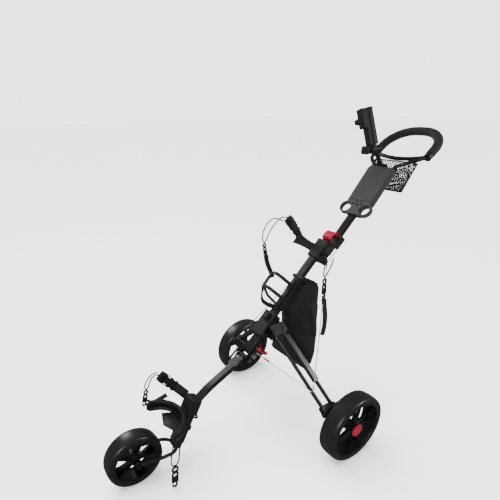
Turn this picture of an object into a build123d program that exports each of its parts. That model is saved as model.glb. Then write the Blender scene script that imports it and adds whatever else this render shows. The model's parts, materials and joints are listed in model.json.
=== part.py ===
from build123d import *

import math
import os

# Three-wheel golf push cart, open for use. X is across the cart (+X is the walker's left), -Y is forward, Z is up.
# Design frame: ground at z = 0, rear wheel centres over y = 0. Parts are moved by CENTRE_SHIFT when written.
CENTRE_SHIFT = 115.85

# Wheels
WHEEL_BASE = 796.0
HALF_TRACK = 342.0
REAR_RADIUS = 146.0
REAR_WIDTH = 70.0
FRONT_RADIUS = 113.9
FRONT_WIDTH = 66.0
RUNNING_GAP = 0.05

# Main tube: its axis starts at the front fold and climbs backward at MAIN_PITCH
FOLD_Y = -282.0
FOLD_Z = 381.5
MAIN_PITCH = 45.8
MAIN_WIDE = 44.0
MAIN_THICK = 20.0
MAIN_START = 24.0
MAIN_END = 586.0
CHEEK = 6.0
CAGE_RADIUS = 5.5

# Handle
HANDLE_S = 515.0
HANDLE_W = -49.0
HANDLE_WIDE = 40.0
HANDLE_THICK = 18.0
CONSOLE_PITCH = 49.9
LOOP_SLOPE = 36.1
LOOP_HALF = 118.0
LOOP_DEPTH = 176.0
LOOP_CORNER = 105.0
FOAM_RADIUS = 18.0

# Rear legs, given for the +X side
LEG_RADIUS = 8.0
LEG_LENGTH = 344.0
LEG_TOP = Vector(45, -166, 474)
LEG_SPACING = Vector(0, 47, 2)
LEG_DIR = Vector(0.698, 0.169, -0.695).normalized()
LEG_AXIS = Vector(0.709, -0.028, 0.705).normalized()
PIN_RADIUS = 4.0

# Soft goods
CORD_RADIUS = 2.6
STAY_RADIUS = 1.8
WEBBING = 2.4

pitch = math.radians(MAIN_PITCH)
MAIN = Plane(
    origin=(0, FOLD_Y, FOLD_Z),
    x_dir=(1, 0, 0),
    z_dir=(0, -math.sin(pitch), math.cos(pitch)),
)


def on_main(x, s, w):
    """Point x across, s along the main tube's axis and w towards the bag."""
    return MAIN.from_local_coords(Vector(x, s, w))


console_angle = math.radians(CONSOLE_PITCH)
CONSOLE = Plane(
    origin=on_main(0, 757, -37),
    x_dir=(1, 0, 0),
    z_dir=(0, -math.sin(console_angle), math.cos(console_angle)),
)
loop_angle = math.radians(LOOP_SLOPE)
LOOP = Plane(
    origin=(0, 518, 1101),
    x_dir=(1, 0, 0),
    z_dir=(0, -math.sin(loop_angle), math.cos(loop_angle)),
)

parts = {}


def box_between(plane, x, y, z, soften=0.0):
    """Block from (x0, y0, z0) to (x1, y1, z1) in a plane's own frame, with its edges rounded by soften."""
    shape = Pos((x[0] + x[1]) / 2, (y[0] + y[1]) / 2, (z[0] + z[1]) / 2) * Box(
        x[1] - x[0], y[1] - y[0], z[1] - z[0]
    )
    if soften:
        shape = fillet(shape.edges(), soften)
    return plane.location * shape


def peg(start, end, radius, bore=0.0):
    """Straight round bar between two points, hollow when bore is given."""
    start, end = Vector(*start), Vector(*end)
    length = (end - start).length
    shape = extrude(Circle(radius), amount=length)
    if bore:
        shape -= extrude(Circle(bore), amount=length)
    return Plane(origin=start, z_dir=end - start).location * shape


def boss(centre, axis, radius, length, bore=0.0):
    """Round bar centred on a point along an axis."""
    half = Vector(*axis).normalized() * (length / 2)
    centre = Vector(*centre)
    return peg(centre - half, centre + half, radius, bore)


def oval_bar(start, end, wide, thick, wall=0.0):
    """Flat-oval tube, wide across the cart."""
    start, end = Vector(*start), Vector(*end)
    length = (end - start).length
    shape = extrude(SlotOverall(wide, thick), amount=length)
    if wall:
        shape -= extrude(SlotOverall(wide - 2 * wall, thick - 2 * wall), amount=length)
    return Plane(origin=start, x_dir=(1, 0, 0), z_dir=end - start).location * shape


def bend_radii(points):
    """Radius at each corner of a route: 0.45 of its shorter run over the tangent of half its turn."""
    radii = []
    for before, corner, after in zip(points, points[1:], points[2:]):
        run_in = Vector(*corner) - Vector(*before)
        run_out = Vector(*after) - Vector(*corner)
        turn = math.radians(run_in.get_angle(run_out))
        shorter = min(run_in.length, run_out.length)
        radii.append(0.45 * shorter / math.tan(turn / 2))
    return radii


def bent_rod(points, radius, bore=0.0):
    """Round bar along straight runs joined by the largest tangent arcs."""
    if len(points) == 2:
        return peg(points[0], points[1], radius, bore)
    path = FilletPolyline(*points, radius=bend_radii(points))
    start = Plane(origin=path @ 0, z_dir=path % 0)
    shape = sweep(start * Circle(radius), path=path)
    if bore:
        shape -= sweep(start * Circle(bore), path=path)
    return shape


def strap(points, width, thick, across):
    """Flat strap: one flat block per run, overlapping a little at each corner, joined into one solid."""
    pieces = []
    for start, end in zip(points, points[1:]):
        start, end = Vector(*start), Vector(*end)
        run = end - start
        plane = Plane(origin=start, x_dir=across, z_dir=run)
        pieces.append(plane.location * extrude(Rectangle(width, thick), amount=run.length))
    for corner in points[1:-1]:
        pieces.append(boss(corner, across, thick * 0.52, width))
    return pieces[0].fuse(*pieces[1:])


def both_sides(shape):
    """The shape and its mirror image on the other side of the cart."""
    return [shape, mirror(shape, about=Plane.YZ)]


def keep(name, *shapes):
    """Store a part as its separate solids."""
    solids = [solid for shape in shapes for solid in shape.solids()]
    parts[name] = Compound(children=solids) if len(solids) > 1 else solids[0]


# ---------------------------------------------------------------- main frame
def build_main_tube():
    tube = oval_bar(on_main(0, MAIN_START + 6, 0), on_main(0, MAIN_END, 0), MAIN_WIDE, MAIN_THICK, 2.0)
    for side in (-1, 1):
        x = side * (MAIN_WIDE / 2 - CHEEK / 2 + 3)
        cheek = boss(on_main(x, 0, 0), (1, 0, 0), 13, CHEEK, PIN_RADIUS)
        arm_x = sorted((x - CHEEK / 2, x + CHEEK / 2))
        arm = box_between(MAIN, arm_x, (8, 40), (-10, 10))
        tube = tube.fuse(cheek, arm)
    socket = box_between(MAIN, (-25, 25), (28, 60), (-13, 13), 2)
    tube_space = oval_bar(on_main(0, 20, 0), on_main(0, 80, 0), MAIN_WIDE - 4, MAIN_THICK - 4)
    tube = tube.fuse(socket - tube_space)
    return tube - boss(on_main(0, 0, 0), (1, 0, 0), PIN_RADIUS, 80)


def main_envelope(start, end):
    return oval_bar(on_main(0, start, 0), on_main(0, end, 0), MAIN_WIDE, MAIN_THICK)


def build_hub():
    upper = box_between(MAIN, (-30, 30), (105, 215), (-22, 24), 5)
    lower = box_between(MAIN, (-24, 24), (120, 205), (-68, -18), 4)
    tab = box_between(MAIN, (-13, 13), (176, 206), (20, 40), 4)
    step = box_between(MAIN, (-32, 32), (107, 127), (-18, 20), 3)
    return upper.fuse(lower, tab, step) - main_envelope(80, 240)


def hub_blocks():
    upper = box_between(MAIN, (-30, 30), (105, 215), (-22, 24))
    lower = box_between(MAIN, (-24, 24), (120, 205), (-68, -18))
    return upper + lower


def leg_point(pivot, along):
    """Point on a leg tube: pivot 0 is the front tube, 1 the rear one."""
    return LEG_TOP + LEG_SPACING * pivot + LEG_DIR * along


def clevis(along, gap, wall, radius, inward):
    """Two plates joined by a web, holding both leg pivots at a distance along the legs."""
    front, rear = leg_point(0, along), leg_point(1, along)
    plane = Plane(origin=(front + rear) * 0.5, x_dir=LEG_SPACING, z_dir=LEG_AXIS)
    spacing = LEG_SPACING.length
    plate = extrude(SlotCenterToCenter(spacing, 2 * radius), amount=wall)
    half = spacing / 2 + radius
    web = Pos(0, inward * (radius + 8), 0) * Box(2 * half, 14 + radius * 0.6, 2 * (gap + wall))
    shape = (Pos(0, 0, gap) * plate).fuse(Pos(0, 0, -gap - wall) * plate, web)
    return plane.location * shape


def build_leg_bracket():
    shape = clevis(0, 10.5, 4.0, 14.0, 1)
    reach = box_between(MAIN, (15, 34), (128, 196), (-66, -10))
    for pivot in (0, 1):
        reach -= boss(leg_point(pivot, 0), LEG_AXIS, 12.5, 21)
    shape += reach
    for pivot in (0, 1):
        shape -= boss(leg_point(pivot, 0), LEG_AXIS, PIN_RADIUS, 60)
        shape -= boss(leg_point(pivot, 0) + LEG_AXIS * 22, LEG_AXIS, 9, 15)
    shape = shape - hub_blocks() - build_hub() - main_envelope(80, 240)
    return max(shape.solids(), key=lambda solid: solid.volume)


def build_upper_bracket():
    """Block on the tube's top end with two flared bag wings and the cheeks of the handle hinge."""
    shape = box_between(MAIN, (-28, 28), (500, 586), (-36, 15), 4)
    for side in (-1, 1):
        wing = []
        for x, w, tall, thick in ((27, 2, 38, 12), (60, 22, 36, 10), (82, 38, 44, 10), (97, 51, 54, 9)):
            section = Plane(
                origin=on_main(side * x, 540, w), x_dir=MAIN.y_dir, z_dir=on_main(side, 0, 0.75) - on_main(0, 0, 0)
            )
            wing.append(section * RectangleRounded(tall, thick, 3))
        shape = shape.fuse(loft(wing, ruled=False))
        cheek_x = sorted((side * 20.6, side * 28))
        cheek = box_between(MAIN, cheek_x, (502, 532), (HANDLE_W, -30))
        round_end = boss(on_main(side * 24.3, HANDLE_S, HANDLE_W), (1, 0, 0), 13, 7.4)
        shape = shape.fuse(cheek, round_end)
    shape -= box_between(MAIN, (-20.6, 20.6), (490, 600), (-70, -38.5))
    shape -= boss(on_main(0, HANDLE_S, HANDLE_W), (1, 0, 0), PIN_RADIUS, 70)
    return shape - main_envelope(480, 600)


def build_frame_bolts():
    """Hub bolts, hinge pins and leg pivot pins."""
    bolts = []
    head = 6.5
    pin = boss(on_main(0, 0, 0), (1, 0, 0), PIN_RADIUS, 50)
    caps = [boss(on_main(side * 26.5, 0, 0), (1, 0, 0), 7, 3) for side in (-1, 1)]
    bolts.append(pin.fuse(*caps))
    pin = boss(on_main(0, HANDLE_S, HANDLE_W), (1, 0, 0), PIN_RADIUS, 56)
    caps = [boss(on_main(side * 29.5, HANDLE_S, HANDLE_W), (1, 0, 0), 8, 3) for side in (-1, 1)]
    bolts.append(pin.fuse(*caps))
    for side in (-1, 1):
        for s in (139, 197):
            x = side * (34.5 if s == 139 else 31.5)
            bolts.append(boss(on_main(x, s, 8), (1, 0, 0), head, 3))
    for pivot in (0, 1):
        centre = leg_point(pivot, 0)
        pin = boss(centre, LEG_AXIS, PIN_RADIUS, 29)
        tip = boss(centre + LEG_AXIS * 16, LEG_AXIS, 7, 3)
        bolts.extend(both_sides(pin.fuse(tip)))
    return bolts


def build_bottle_cage():
    """Open plastic cage on the bag face of the main tube, leaning out to the right."""
    rail = box_between(MAIN, (-9, 9), (230, 378), (10, 16), 2)
    hoops = []
    for s, reach in ((352, 84), (286, 78)):
        hoop = [on_main(-4, s, 15), on_main(-14, s, 62), on_main(-58, s + 4, reach), on_main(-92, s, 46)]
        hoops.append(bent_rod(hoop, CAGE_RADIUS))
    spine = [on_main(-92, 352, 46), on_main(-100, 330, 44), on_main(-92, 286, 46)]
    hoops.append(bent_rod(spine, CAGE_RADIUS))
    prong = [on_main(-4, 240, 15), on_main(-40, 228, 24), on_main(-78, 240, 36), on_main(-92, 286, 46)]
    hoops.append(bent_rod(prong, CAGE_RADIUS))
    return rail.fuse(*hoops)


def build_pouch():
    """Storage pouch under the main tube, narrow at the top and as wide as the legs at the bottom."""
    sections = []
    for z, front, rear, front_half, rear_half in (
        (272, -42, 6, 118, 122),
        (330, -52, 40, 96, 116),
        (425, -62, 78, 46, 96),
        (540, -78, 84, 30, 76),
        (620, -18, 80, 28, 64),
        (652, 12, 72, 24, 52),
    ):
        outline = Polyline((-front_half, front), (front_half, front), (rear_half, rear), (-rear_half, rear), close=True)
        sections.append(Pos(0, 0, z) * make_face(outline))
    return loft(sections, ruled=True)


def build_brake():
    bracket = box_between(MAIN, (-15, 15), (62, 96), (-36, -7), 2)
    bracket -= box_between(MAIN, (-9.5, 9.5), (60, 98), (-40, -21))
    hinge = on_main(0, 79, -30)
    bracket -= boss(hinge, (1, 0, 0), 3.05, 40)
    pedal = boss(hinge, (1, 0, 0), 7, 18)
    foot = Vector(0, hinge.Y + 20, hinge.Z - 44)
    arm = peg(hinge, foot, 5)
    bar = fillet((Pos(foot.X, foot.Y, foot.Z) * Box(64, 18, 9)).edges(), 3)
    pin = boss(hinge, (1, 0, 0), 3, 30)
    return bracket, pedal.fuse(arm, bar, pin), hinge


def cable_runs():
    """Ends of each side's brake cable and stay cable on the +X side."""
    rivet = leg_point(0, 265) + LEG_AXIS * 9.5
    fore = Vector(12, -222, 381)
    guide = on_main(35, HANDLE_S, HANDLE_W)
    latch = on_main(37.5, 612, -46)
    return rivet, fore, guide, latch


# ---------------------------------------------------------------- front section
FRONT_LINE = [(0, FOLD_Y, FOLD_Z), (0, -456, 295), (0, -504, 262), (0, -526, 250)]
HOUSING_TOP = Vector(0, -530, 262)
HOUSING_LOW = Vector(0, -606, 98)
FRONT_AXLE = Vector(0, -WHEEL_BASE, FRONT_RADIUS)
HOUSING = Plane(origin=HOUSING_TOP, x_dir=(1, 0, 0), z_dir=(0, -0.907, 0.421))


def front_sweep(wide, thick):
    start = Vector(*FRONT_LINE[0])
    first = (Vector(*FRONT_LINE[1]) - start).normalized()
    points = [start + first * 30, *[Vector(*point) for point in FRONT_LINE[1:]]]
    path = FilletPolyline(*points, radius=bend_radii(points))
    plane = Plane(origin=path @ 0, x_dir=(1, 0, 0), z_dir=path % 0)
    return sweep(plane * SlotOverall(wide, thick), path=path)


def build_front_tube():
    start = Vector(*FRONT_LINE[0])
    first = (Vector(*FRONT_LINE[1]) - start).normalized()
    outer = front_sweep(40, 18)
    inner = front_sweep(36, 14)
    tongue = boss(start, (1, 0, 0), 12, 30)
    neck_plane = Plane(origin=start, x_dir=(1, 0, 0), z_dir=first)
    neck = neck_plane.location * (Pos(0, 0, 25) * Box(30, 14, 34))
    collar = neck_plane.location * (Pos(0, 0, 49) * Box(46, 24, 26))
    collar -= neck_plane.location * (Pos(0, 0, 49) * extrude(SlotOverall(39, 17), amount=40, both=True))
    tube = (outer - inner) + tongue + neck + collar
    return tube - boss(start, (1, 0, 0), PIN_RADIUS + RUNNING_GAP, 60)


def build_fork_housing():
    """Moulded housing from the end of the front tube down to the fork."""
    length = (HOUSING_LOW - HOUSING_TOP).length
    top = box_between(HOUSING, (-31, 31), (-46, 18), (-24, 24), 5)
    body = box_between(HOUSING, (-25, 25), (-length, -40), (-20, 20), 6)
    rib = box_between(HOUSING, (-29, 29), (-118, -96), (-23, 23), 4)
    shape = top + body + rib - front_sweep(40, 18)
    shape += lift_eye()
    return shape - HOUSING.location * (Pos(0, -128, -34) * Cylinder(7.05, 52))


def build_release_knob():
    stem = Pos(0, -128, -21) * Cylinder(7, 14)
    head = Pos(0, -128, -33) * fillet(Cylinder(10, 10).edges(), 2)
    return HOUSING.location * (stem + head)


def build_lower_cradle():
    """Curved band with rounded ends that holds the foot of the bag, and the small shelf under it."""
    tip = (100, -678)
    inner = ThreePointArc((-tip[0] + 4, tip[1] - 5), (0, -592), (tip[0] - 4, tip[1] - 5))
    outer = ThreePointArc((-tip[0] - 4, tip[1] + 5), (0, -578), (tip[0] + 4, tip[1] + 5))
    ends = [Line((x * (tip[0] - 4), tip[1] - 5), (x * (tip[0] + 4), tip[1] + 5)) for x in (-1, 1)]
    band = Pos(0, 0, 202) * extrude(make_face([inner, outer, *ends]), amount=50)
    for side in (-1, 1):
        band += Pos(side * tip[0], tip[1], 202) * extrude(Circle(8.5), amount=50)
    shelf = Polyline((-60, -640), (-34, -584), (34, -584), (60, -640), (0, -664), close=True)
    shape = band + Pos(0, 0, 202) * extrude(make_face(shelf), amount=7)
    shape += Pos(0, -572, 222) * Box(44, 40, 40)
    return shape - box_between(HOUSING, (-31, 31), (-220, 30), (-40, 24))


def build_fork():
    crown = box_between(HOUSING, (-22, 22), (-206, -181), (-17, 17), 4)
    arms = []
    for side in (-1, 1):
        route = [
            (side * 14, -612, 84),
            (side * 42, -644, 88),
            (side * 47, -692, 96),
            (side * 45, -796, 113.9),
        ]
        arm = bent_rod(route, 7)
        eye = boss((side * 45, -796, 113.9), (1, 0, 0), 13, 12)
        arms.append(arm + eye)
    shape = crown + arms[0] + arms[1]
    shape -= boss(FRONT_AXLE, (1, 0, 0), 5, 140)
    for side in (-1, 1):
        shape -= boss(FRONT_AXLE + Vector(side * 35, 0, 0), (1, 0, 0), 14, 8)
        shape -= boss(FRONT_AXLE + Vector(side * 57, 0, 0), (1, 0, 0), 14, 12)
    length = (HOUSING_LOW - HOUSING_TOP).length
    return shape - box_between(HOUSING, (-25, 25), (-length, -40), (-20, 20))


def lift_eye():
    """Small carrying eye behind the housing."""
    centre = HOUSING.from_local_coords(Vector(18, -62, -28))
    plane = Plane(origin=centre, x_dir=(1, 0, 0), z_dir=(0, 0.3, 0.95))
    return plane.location * extrude(Circle(12) - Circle(6), amount=6)


# ---------------------------------------------------------------- wheels
def wheel_ring(inner, outer, width, round_outer):
    """Ring about X, with its outer corners rounded."""
    disc = Cylinder(outer, width)
    if round_outer:
        disc = fillet(disc.edges().filter_by(GeomType.CIRCLE), round_outer)
    return Rot(0, 90, 0) * (disc - Cylinder(inner, 2 * width))


def build_wheel(radius, width, rim_radius, hub_radius, hub_half, spokes, spread, depth):
    """Tyre and rim, centred on the origin with the axle along X. spread is each spoke pair's half angle."""
    tyre = wheel_ring(rim_radius, radius, width, 10)
    barrel = wheel_ring(rim_radius - 7, rim_radius, width - 4, 0)
    for side in (-1, 1):
        x = side * (width / 2 - 4)
        barrel += Pos(x, 0, 0) * wheel_ring(rim_radius - 11, rim_radius - 6, 4, 0)
    hub = Rot(0, 90, 0) * Cylinder(hub_radius, 2 * hub_half)
    pieces = [hub]
    inner, outer = hub_radius - 4, rim_radius - 5
    for index in range(spokes):
        for side in (-1, 1):
            start = math.radians(index * 360 / spokes + side * spread * 1.6)
            end = math.radians(index * 360 / spokes + side * spread)
            first = Vector(0, inner * math.cos(start), inner * math.sin(start))
            last = Vector(0, outer * math.cos(end), outer * math.sin(end))
            run = last - first
            plane = Plane(origin=first, x_dir=(1, 0, 0), z_dir=run)
            pieces.append(plane.location * extrude(Rectangle(depth, 8), amount=run.length))
    for piece in pieces:
        barrel += piece
    return tyre, barrel


BUTTON_STEP = 16.0
CAP_RADIUS = 27.0
HUB_HALF = 24.0
BEARING_RADIUS = 13.0
BEARING_WIDE = 7.0


def build_rear_wheel():
    """Wheel, axle, bearings and hub button for the +X side."""
    centre = Pos(HALF_TRACK, 0, REAR_RADIUS)
    tyre, rim = build_wheel(REAR_RADIUS, REAR_WIDTH, 124, 22, HUB_HALF, 5, 11, 20)
    rim -= Pos(BUTTON_STEP + 10, 0, 0) * wheel_ring(15, 30, 20, 0)
    rim -= Rot(0, 90, 0) * Cylinder(8.5, 90)
    bearings = []
    for x in (-HUB_HALF + BEARING_WIDE / 2, BUTTON_STEP - BEARING_WIDE / 2 - 4):
        seat = Pos(x, 0, 0) * Rot(0, 90, 0) * Cylinder(BEARING_RADIUS, BEARING_WIDE)
        rim -= seat
        bearings.append(seat - Rot(0, 90, 0) * Cylinder(6 + RUNNING_GAP, 90))
    axle = peg((HALF_TRACK - 44, 0, REAR_RADIUS), (HALF_TRACK + 22, 0, REAR_RADIUS), 6)
    collar = peg((HALF_TRACK - 31, 0, REAR_RADIUS), (HALF_TRACK - 26, 0, REAR_RADIUS), 9)
    cap = Pos(31.5, 0, 0) * Rot(0, 90, 0) * Cylinder(CAP_RADIUS, 9)
    cap = fillet(cap.edges().sort_by(Axis.X)[-1:], 4)
    skirt = Pos(26, 0, 0) * Rot(0, 90, 0) * Cylinder(20, 5)
    cap = cap.fuse(skirt - Rot(0, 90, 0) * Cylinder(15.1, 90))
    pieces = {"tyre": [tyre], "rim": [rim], "bearings": bearings, "hub_button": [cap]}
    placed = {name: [centre * shape for shape in shapes] for name, shapes in pieces.items()}
    placed["axle"] = [axle.fuse(collar)]
    return placed


def build_front_wheel():
    centre = Pos(*FRONT_AXLE)
    tyre, rim = build_wheel(FRONT_RADIUS, FRONT_WIDTH, 92, 20, 30, 5, 15, 24)
    rim -= Rot(0, 90, 0) * Cylinder(7.5, 90)
    bearings = []
    for side in (-1, 1):
        seat = Pos(side * 26.5, 0, 0) * Rot(0, 90, 0) * Cylinder(12, BEARING_WIDE)
        rim -= seat
        bearings.append(seat - Rot(0, 90, 0) * Cylinder(5 + RUNNING_GAP, 90))
    keep("front_tyre", centre * tyre)
    keep("front_rim", centre * rim)
    keep("front_bearings", *[centre * shape for shape in bearings])
    axle = boss(FRONT_AXLE, (1, 0, 0), 5, 102)
    nuts = [boss(FRONT_AXLE + Vector(side * 54, 0, 0), (1, 0, 0), 9, 6) for side in (-1, 1)]
    spacers = [boss(FRONT_AXLE + Vector(side * 35.5, 0, 0), (1, 0, 0), 8, 7) for side in (-1, 1)]
    keep("front_axle", axle.fuse(*nuts, *spacers))


# ---------------------------------------------------------------- rear legs, +X side
def build_leg(pivot, sleeve):
    start, end = leg_point(pivot, 0), leg_point(pivot, LEG_LENGTH)
    shape = peg(leg_point(pivot, 4), leg_point(pivot, LEG_LENGTH - 4), LEG_RADIUS)
    shape = shape.fuse(boss(start, LEG_AXIS, 10, 20), boss(end, LEG_AXIS, 10, 15.4))
    if sleeve:
        plane = Plane(origin=start, x_dir=LEG_AXIS, z_dir=LEG_DIR)
        sleeve_box = Pos(0, 0, 123) * Box(19, 25, 200)
        shoe = Pos(0, 0, 226) * Box(19, 25, 22)
        block = fillet(sleeve_box.fuse(shoe).edges().filter_by(Axis.Z), 3)
        shape = shape.fuse(plane.location * block)
    upper_clearance = RUNNING_GAP
    lower_clearance = 0.6 if pivot else RUNNING_GAP
    shape -= boss(start, LEG_AXIS, PIN_RADIUS + upper_clearance, 60)
    shape -= boss(end, LEG_AXIS, PIN_RADIUS + lower_clearance, 60)
    if not pivot:
        shape = shape.fuse(boss(leg_point(0, 265), LEG_AXIS, 4.5, 19))
    return shape


def build_carrier():
    """Bracket between the two leg tubes' lower ends and the wheel's axle."""
    shape = clevis(LEG_LENGTH, 8.3, 4.0, 12.0, -1)
    for pivot in (0, 1):
        pin = boss(leg_point(pivot, LEG_LENGTH), LEG_AXIS, PIN_RADIUS, 2 * (8.3 + 4.0) + 4)
        shape = shape.fuse(pin)
    outline = Polyline((-118, 232), (-96, 250), (-40, 250), (-24, 232), (16, 158), (13, 128), (-12, 128), close=True)
    plate = make_face(outline)
    face = Plane(origin=(293, 0, 0), x_dir=(0, 1, 0), z_dir=(1, 0, 0))
    plate = face.location * extrude(plate, amount=10)
    hub = boss((300, 0, REAR_RADIUS), (1, 0, 0), 17, 14)
    shape = shape.fuse(plate, hub)
    room = boss(leg_point(0, LEG_LENGTH), LEG_AXIS, 13, 16.6).fuse(boss(leg_point(1, LEG_LENGTH), LEG_AXIS, 13, 16.6))
    pins = [boss(leg_point(pivot, LEG_LENGTH), LEG_AXIS, PIN_RADIUS, 20) for pivot in (0, 1)]
    shape = (shape - room).fuse(*pins)
    shape -= peg((305.5, 0, REAR_RADIUS), (380, 0, REAR_RADIUS), REAR_RADIUS + 6)
    return shape - boss((300, 0, REAR_RADIUS), (1, 0, 0), 6, 60)


# ---------------------------------------------------------------- handle
def handle_point(x, s, w=HANDLE_W):
    return on_main(x, s, w)


def handle_envelope(start, end):
    return oval_bar(handle_point(0, start), handle_point(0, end), HANDLE_WIDE, HANDLE_THICK)


def build_handle_tube():
    tube = oval_bar(handle_point(0, HANDLE_S), handle_point(0, 960), HANDLE_WIDE, HANDLE_THICK, 2.0)
    eye = boss(handle_point(0, HANDLE_S), (1, 0, 0), 11, HANDLE_WIDE)
    tube -= boss(handle_point(0, HANDLE_S), (1, 0, 0), 10, HANDLE_WIDE + 20)
    return tube.fuse(eye) - boss(handle_point(0, HANDLE_S), (1, 0, 0), PIN_RADIUS + RUNNING_GAP, 70)


LATCH_HINGE = (0, 634, -22)


def build_latch():
    bracket = box_between(MAIN, (-34, 34), (590, 644), (-62, -30), 4)
    bracket -= handle_envelope(560, 680)
    ears = [box_between(MAIN, sorted((side * 26, side * 32)), (622, 644), (-34, -14), 2) for side in (-1, 1)]
    bracket = bracket.fuse(*ears)
    hinge = on_main(*LATCH_HINGE)
    bracket -= boss(hinge, (1, 0, 0), 3.05, 80)
    lever = box_between(MAIN, (-25, 25), (592, 641), (-14, 8), 5)
    barrel = boss(hinge, (1, 0, 0), 7, 50)
    neck = box_between(MAIN, (-24, 24), (627, 641), (-24, -12))
    pin = boss(hinge, (1, 0, 0), 3, 66)
    lever = lever.fuse(barrel, neck, pin) - box_between(MAIN, (-40, 40), (580, 626), (-32, -14))
    return bracket, lever


BALL_X = 45.0
BALL_Y = 24.0
BALL_RADIUS = 22.0
LID_START = 64.0
CONSOLE_END = 234.0
CONSOLE_HALF = 56.5
PLATE_TOP = 3.8


def build_console():
    tray = box_between(CONSOLE, (-CONSOLE_HALF, CONSOLE_HALF), (58, CONSOLE_END), (-26, -0.4), 0)
    tray = fillet(tray.edges().filter_by(lambda e: abs((e % 0.5).dot(CONSOLE.z_dir)) > 0.99), 8)
    outline = [(-56.5, 63), (-53, 42), (-42, 12), (-32, -4), (32, -4), (42, 12), (53, 42), (56.5, 63)]
    neck = Pos(0, 0, -26) * extrude(make_face(Polyline(*outline, close=True)), amount=26 + PLATE_TOP)
    neck = CONSOLE.location * neck
    rings = []
    for side in (-1, 1):
        ring = Pos(side * BALL_X, BALL_Y, PLATE_TOP - 10) * fillet(Cylinder(29, 20).edges(), 2)
        ring = CONSOLE.location * ring
        rings.append(ring)
    shape = tray.fuse(neck, *rings)
    for side in (-1, 1):
        shape -= CONSOLE.location * (Pos(side * BALL_X, BALL_Y, -8) * Cylinder(BALL_RADIUS, 90))
    shape -= box_between(CONSOLE, (-50, 50), (76, 224), (-13, 4), 4)
    shape -= handle_envelope(700, 965)
    hinge_y = CONSOLE_END - 5
    shape -= box_between(CONSOLE, (-46, 46), (hinge_y - 6, CONSOLE_END + 1), (-6, 3))
    shape -= CONSOLE.location * (Pos(0, hinge_y, -1) * Rot(0, 90, 0) * Cylinder(2.05, 106))
    shape -= box_between(CONSOLE, (-13.5, 13.5), (LID_START - 8, LID_START + 3), (-0.4, PLATE_TOP + 1))
    tees = [Pos(x, 44, PLATE_TOP) * Cylinder(3, 12) for x in (-24, -16, 16, 24)]
    tees.append(Pos(0, 40, PLATE_TOP) * Cylinder(4.5, 12))
    for tee in tees:
        shape -= CONSOLE.location * tee
    return shape


def build_console_lid():
    lid = box_between(CONSOLE, (-CONSOLE_HALF, CONSOLE_HALF), (LID_START, CONSOLE_END - 12), (0, 4), 1.2)
    barrel = CONSOLE.location * (Pos(0, CONSOLE_END - 5, -1) * Rot(0, 90, 0) * Cylinder(4, 91))
    bridge = box_between(CONSOLE, (-45.5, 45.5), (CONSOLE_END - 14, CONSOLE_END - 4), (0.5, 3))
    pin = CONSOLE.location * (Pos(0, CONSOLE_END - 5, -1) * Rot(0, 90, 0) * Cylinder(2, 104))
    tab = box_between(CONSOLE, (-12, 12), (LID_START - 6, LID_START + 2), (0.3, 4), 1)
    return lid.fuse(barrel, bridge, pin, tab)


UMB = Vector(0, 344, 1151)
UMB_LEAN = 22.0
UMB_BORE = 20.0
UMB_OUTER = 23.5
UMB_LOW = 20.0
UMB_HIGH = 164.0


def umbrella_direction():
    lean = math.radians(UMB_LEAN)
    return Vector(-math.sin(lean), 0, math.cos(lean))


def build_umbrella():
    """Bracket on the console's end, leaning tube with its clamp box, and two knobs."""
    along = umbrella_direction()
    base = box_between(CONSOLE, (-40, 12), (CONSOLE_END, CONSOLE_END + 12), (-24, 4), 2)
    lug_y = (366.5, 380.5)
    lug = boss((UMB.X, sum(lug_y) / 2, UMB.Z), (0, 1, 0), 16, lug_y[1] - lug_y[0])
    neck = bent_rod([(-14, 374, 1148), (-15, 398, 1126), (-14, 430, 1086)], 9)
    bracket = base + lug + neck - boss(UMB + Vector(0, 22, 0), (0, 1, 0), 4 + RUNNING_GAP, 80)
    tube = peg(UMB + along * UMB_LOW, UMB + along * UMB_HIGH, UMB_OUTER)
    tube = tube.fuse(peg(UMB + along * (UMB_HIGH - 4), UMB + along * UMB_HIGH, UMB_OUTER + 1.5))
    plane = Plane(origin=UMB, x_dir=(0, 1, 0), z_dir=along)
    clamp = plane.location * (Pos(-28, 0, 125) * Box(30, 26, 76))
    foot = boss(UMB, (0, 1, 0), 17, 44).fuse(peg(UMB, UMB + along * 30, 17))
    tube = tube.fuse(clamp, foot)
    tube -= peg(UMB + along * (UMB_LOW + 14), UMB + along * (UMB_HIGH + 10), UMB_BORE)
    tube -= boss(UMB, (0, 1, 0), 4 + RUNNING_GAP, 90)
    clamp_axis = UMB + along * 112
    tube -= peg(clamp_axis, clamp_axis + Vector(0, -60, 0), 3.05)
    tilt_knob = boss(UMB + Vector(0, -49, 0), (0, 1, 0), 19, 14)
    tilt_knob = tilt_knob.fuse(boss(UMB + Vector(0, -32, 0), (0, 1, 0), 9, 19.6))
    tilt_knob = tilt_knob.fuse(boss(UMB + Vector(0, 2, 0), (0, 1, 0), 4, 76))
    clamp_knob = boss(clamp_axis + Vector(0, -67, 0), (0, 1, 0), 13, 10)
    clamp_knob = clamp_knob.fuse(boss(clamp_axis + Vector(0, -53, 0), (0, 1, 0), 6, 18.6))
    clamp_knob = clamp_knob.fuse(boss(clamp_axis + Vector(0, -34, 0), (0, 1, 0), 3, 24))
    return bracket, tube, tilt_knob, clamp_knob


def loop_point(x, depth):
    return LOOP.from_local_coords(Vector(x, depth, 0))


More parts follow.
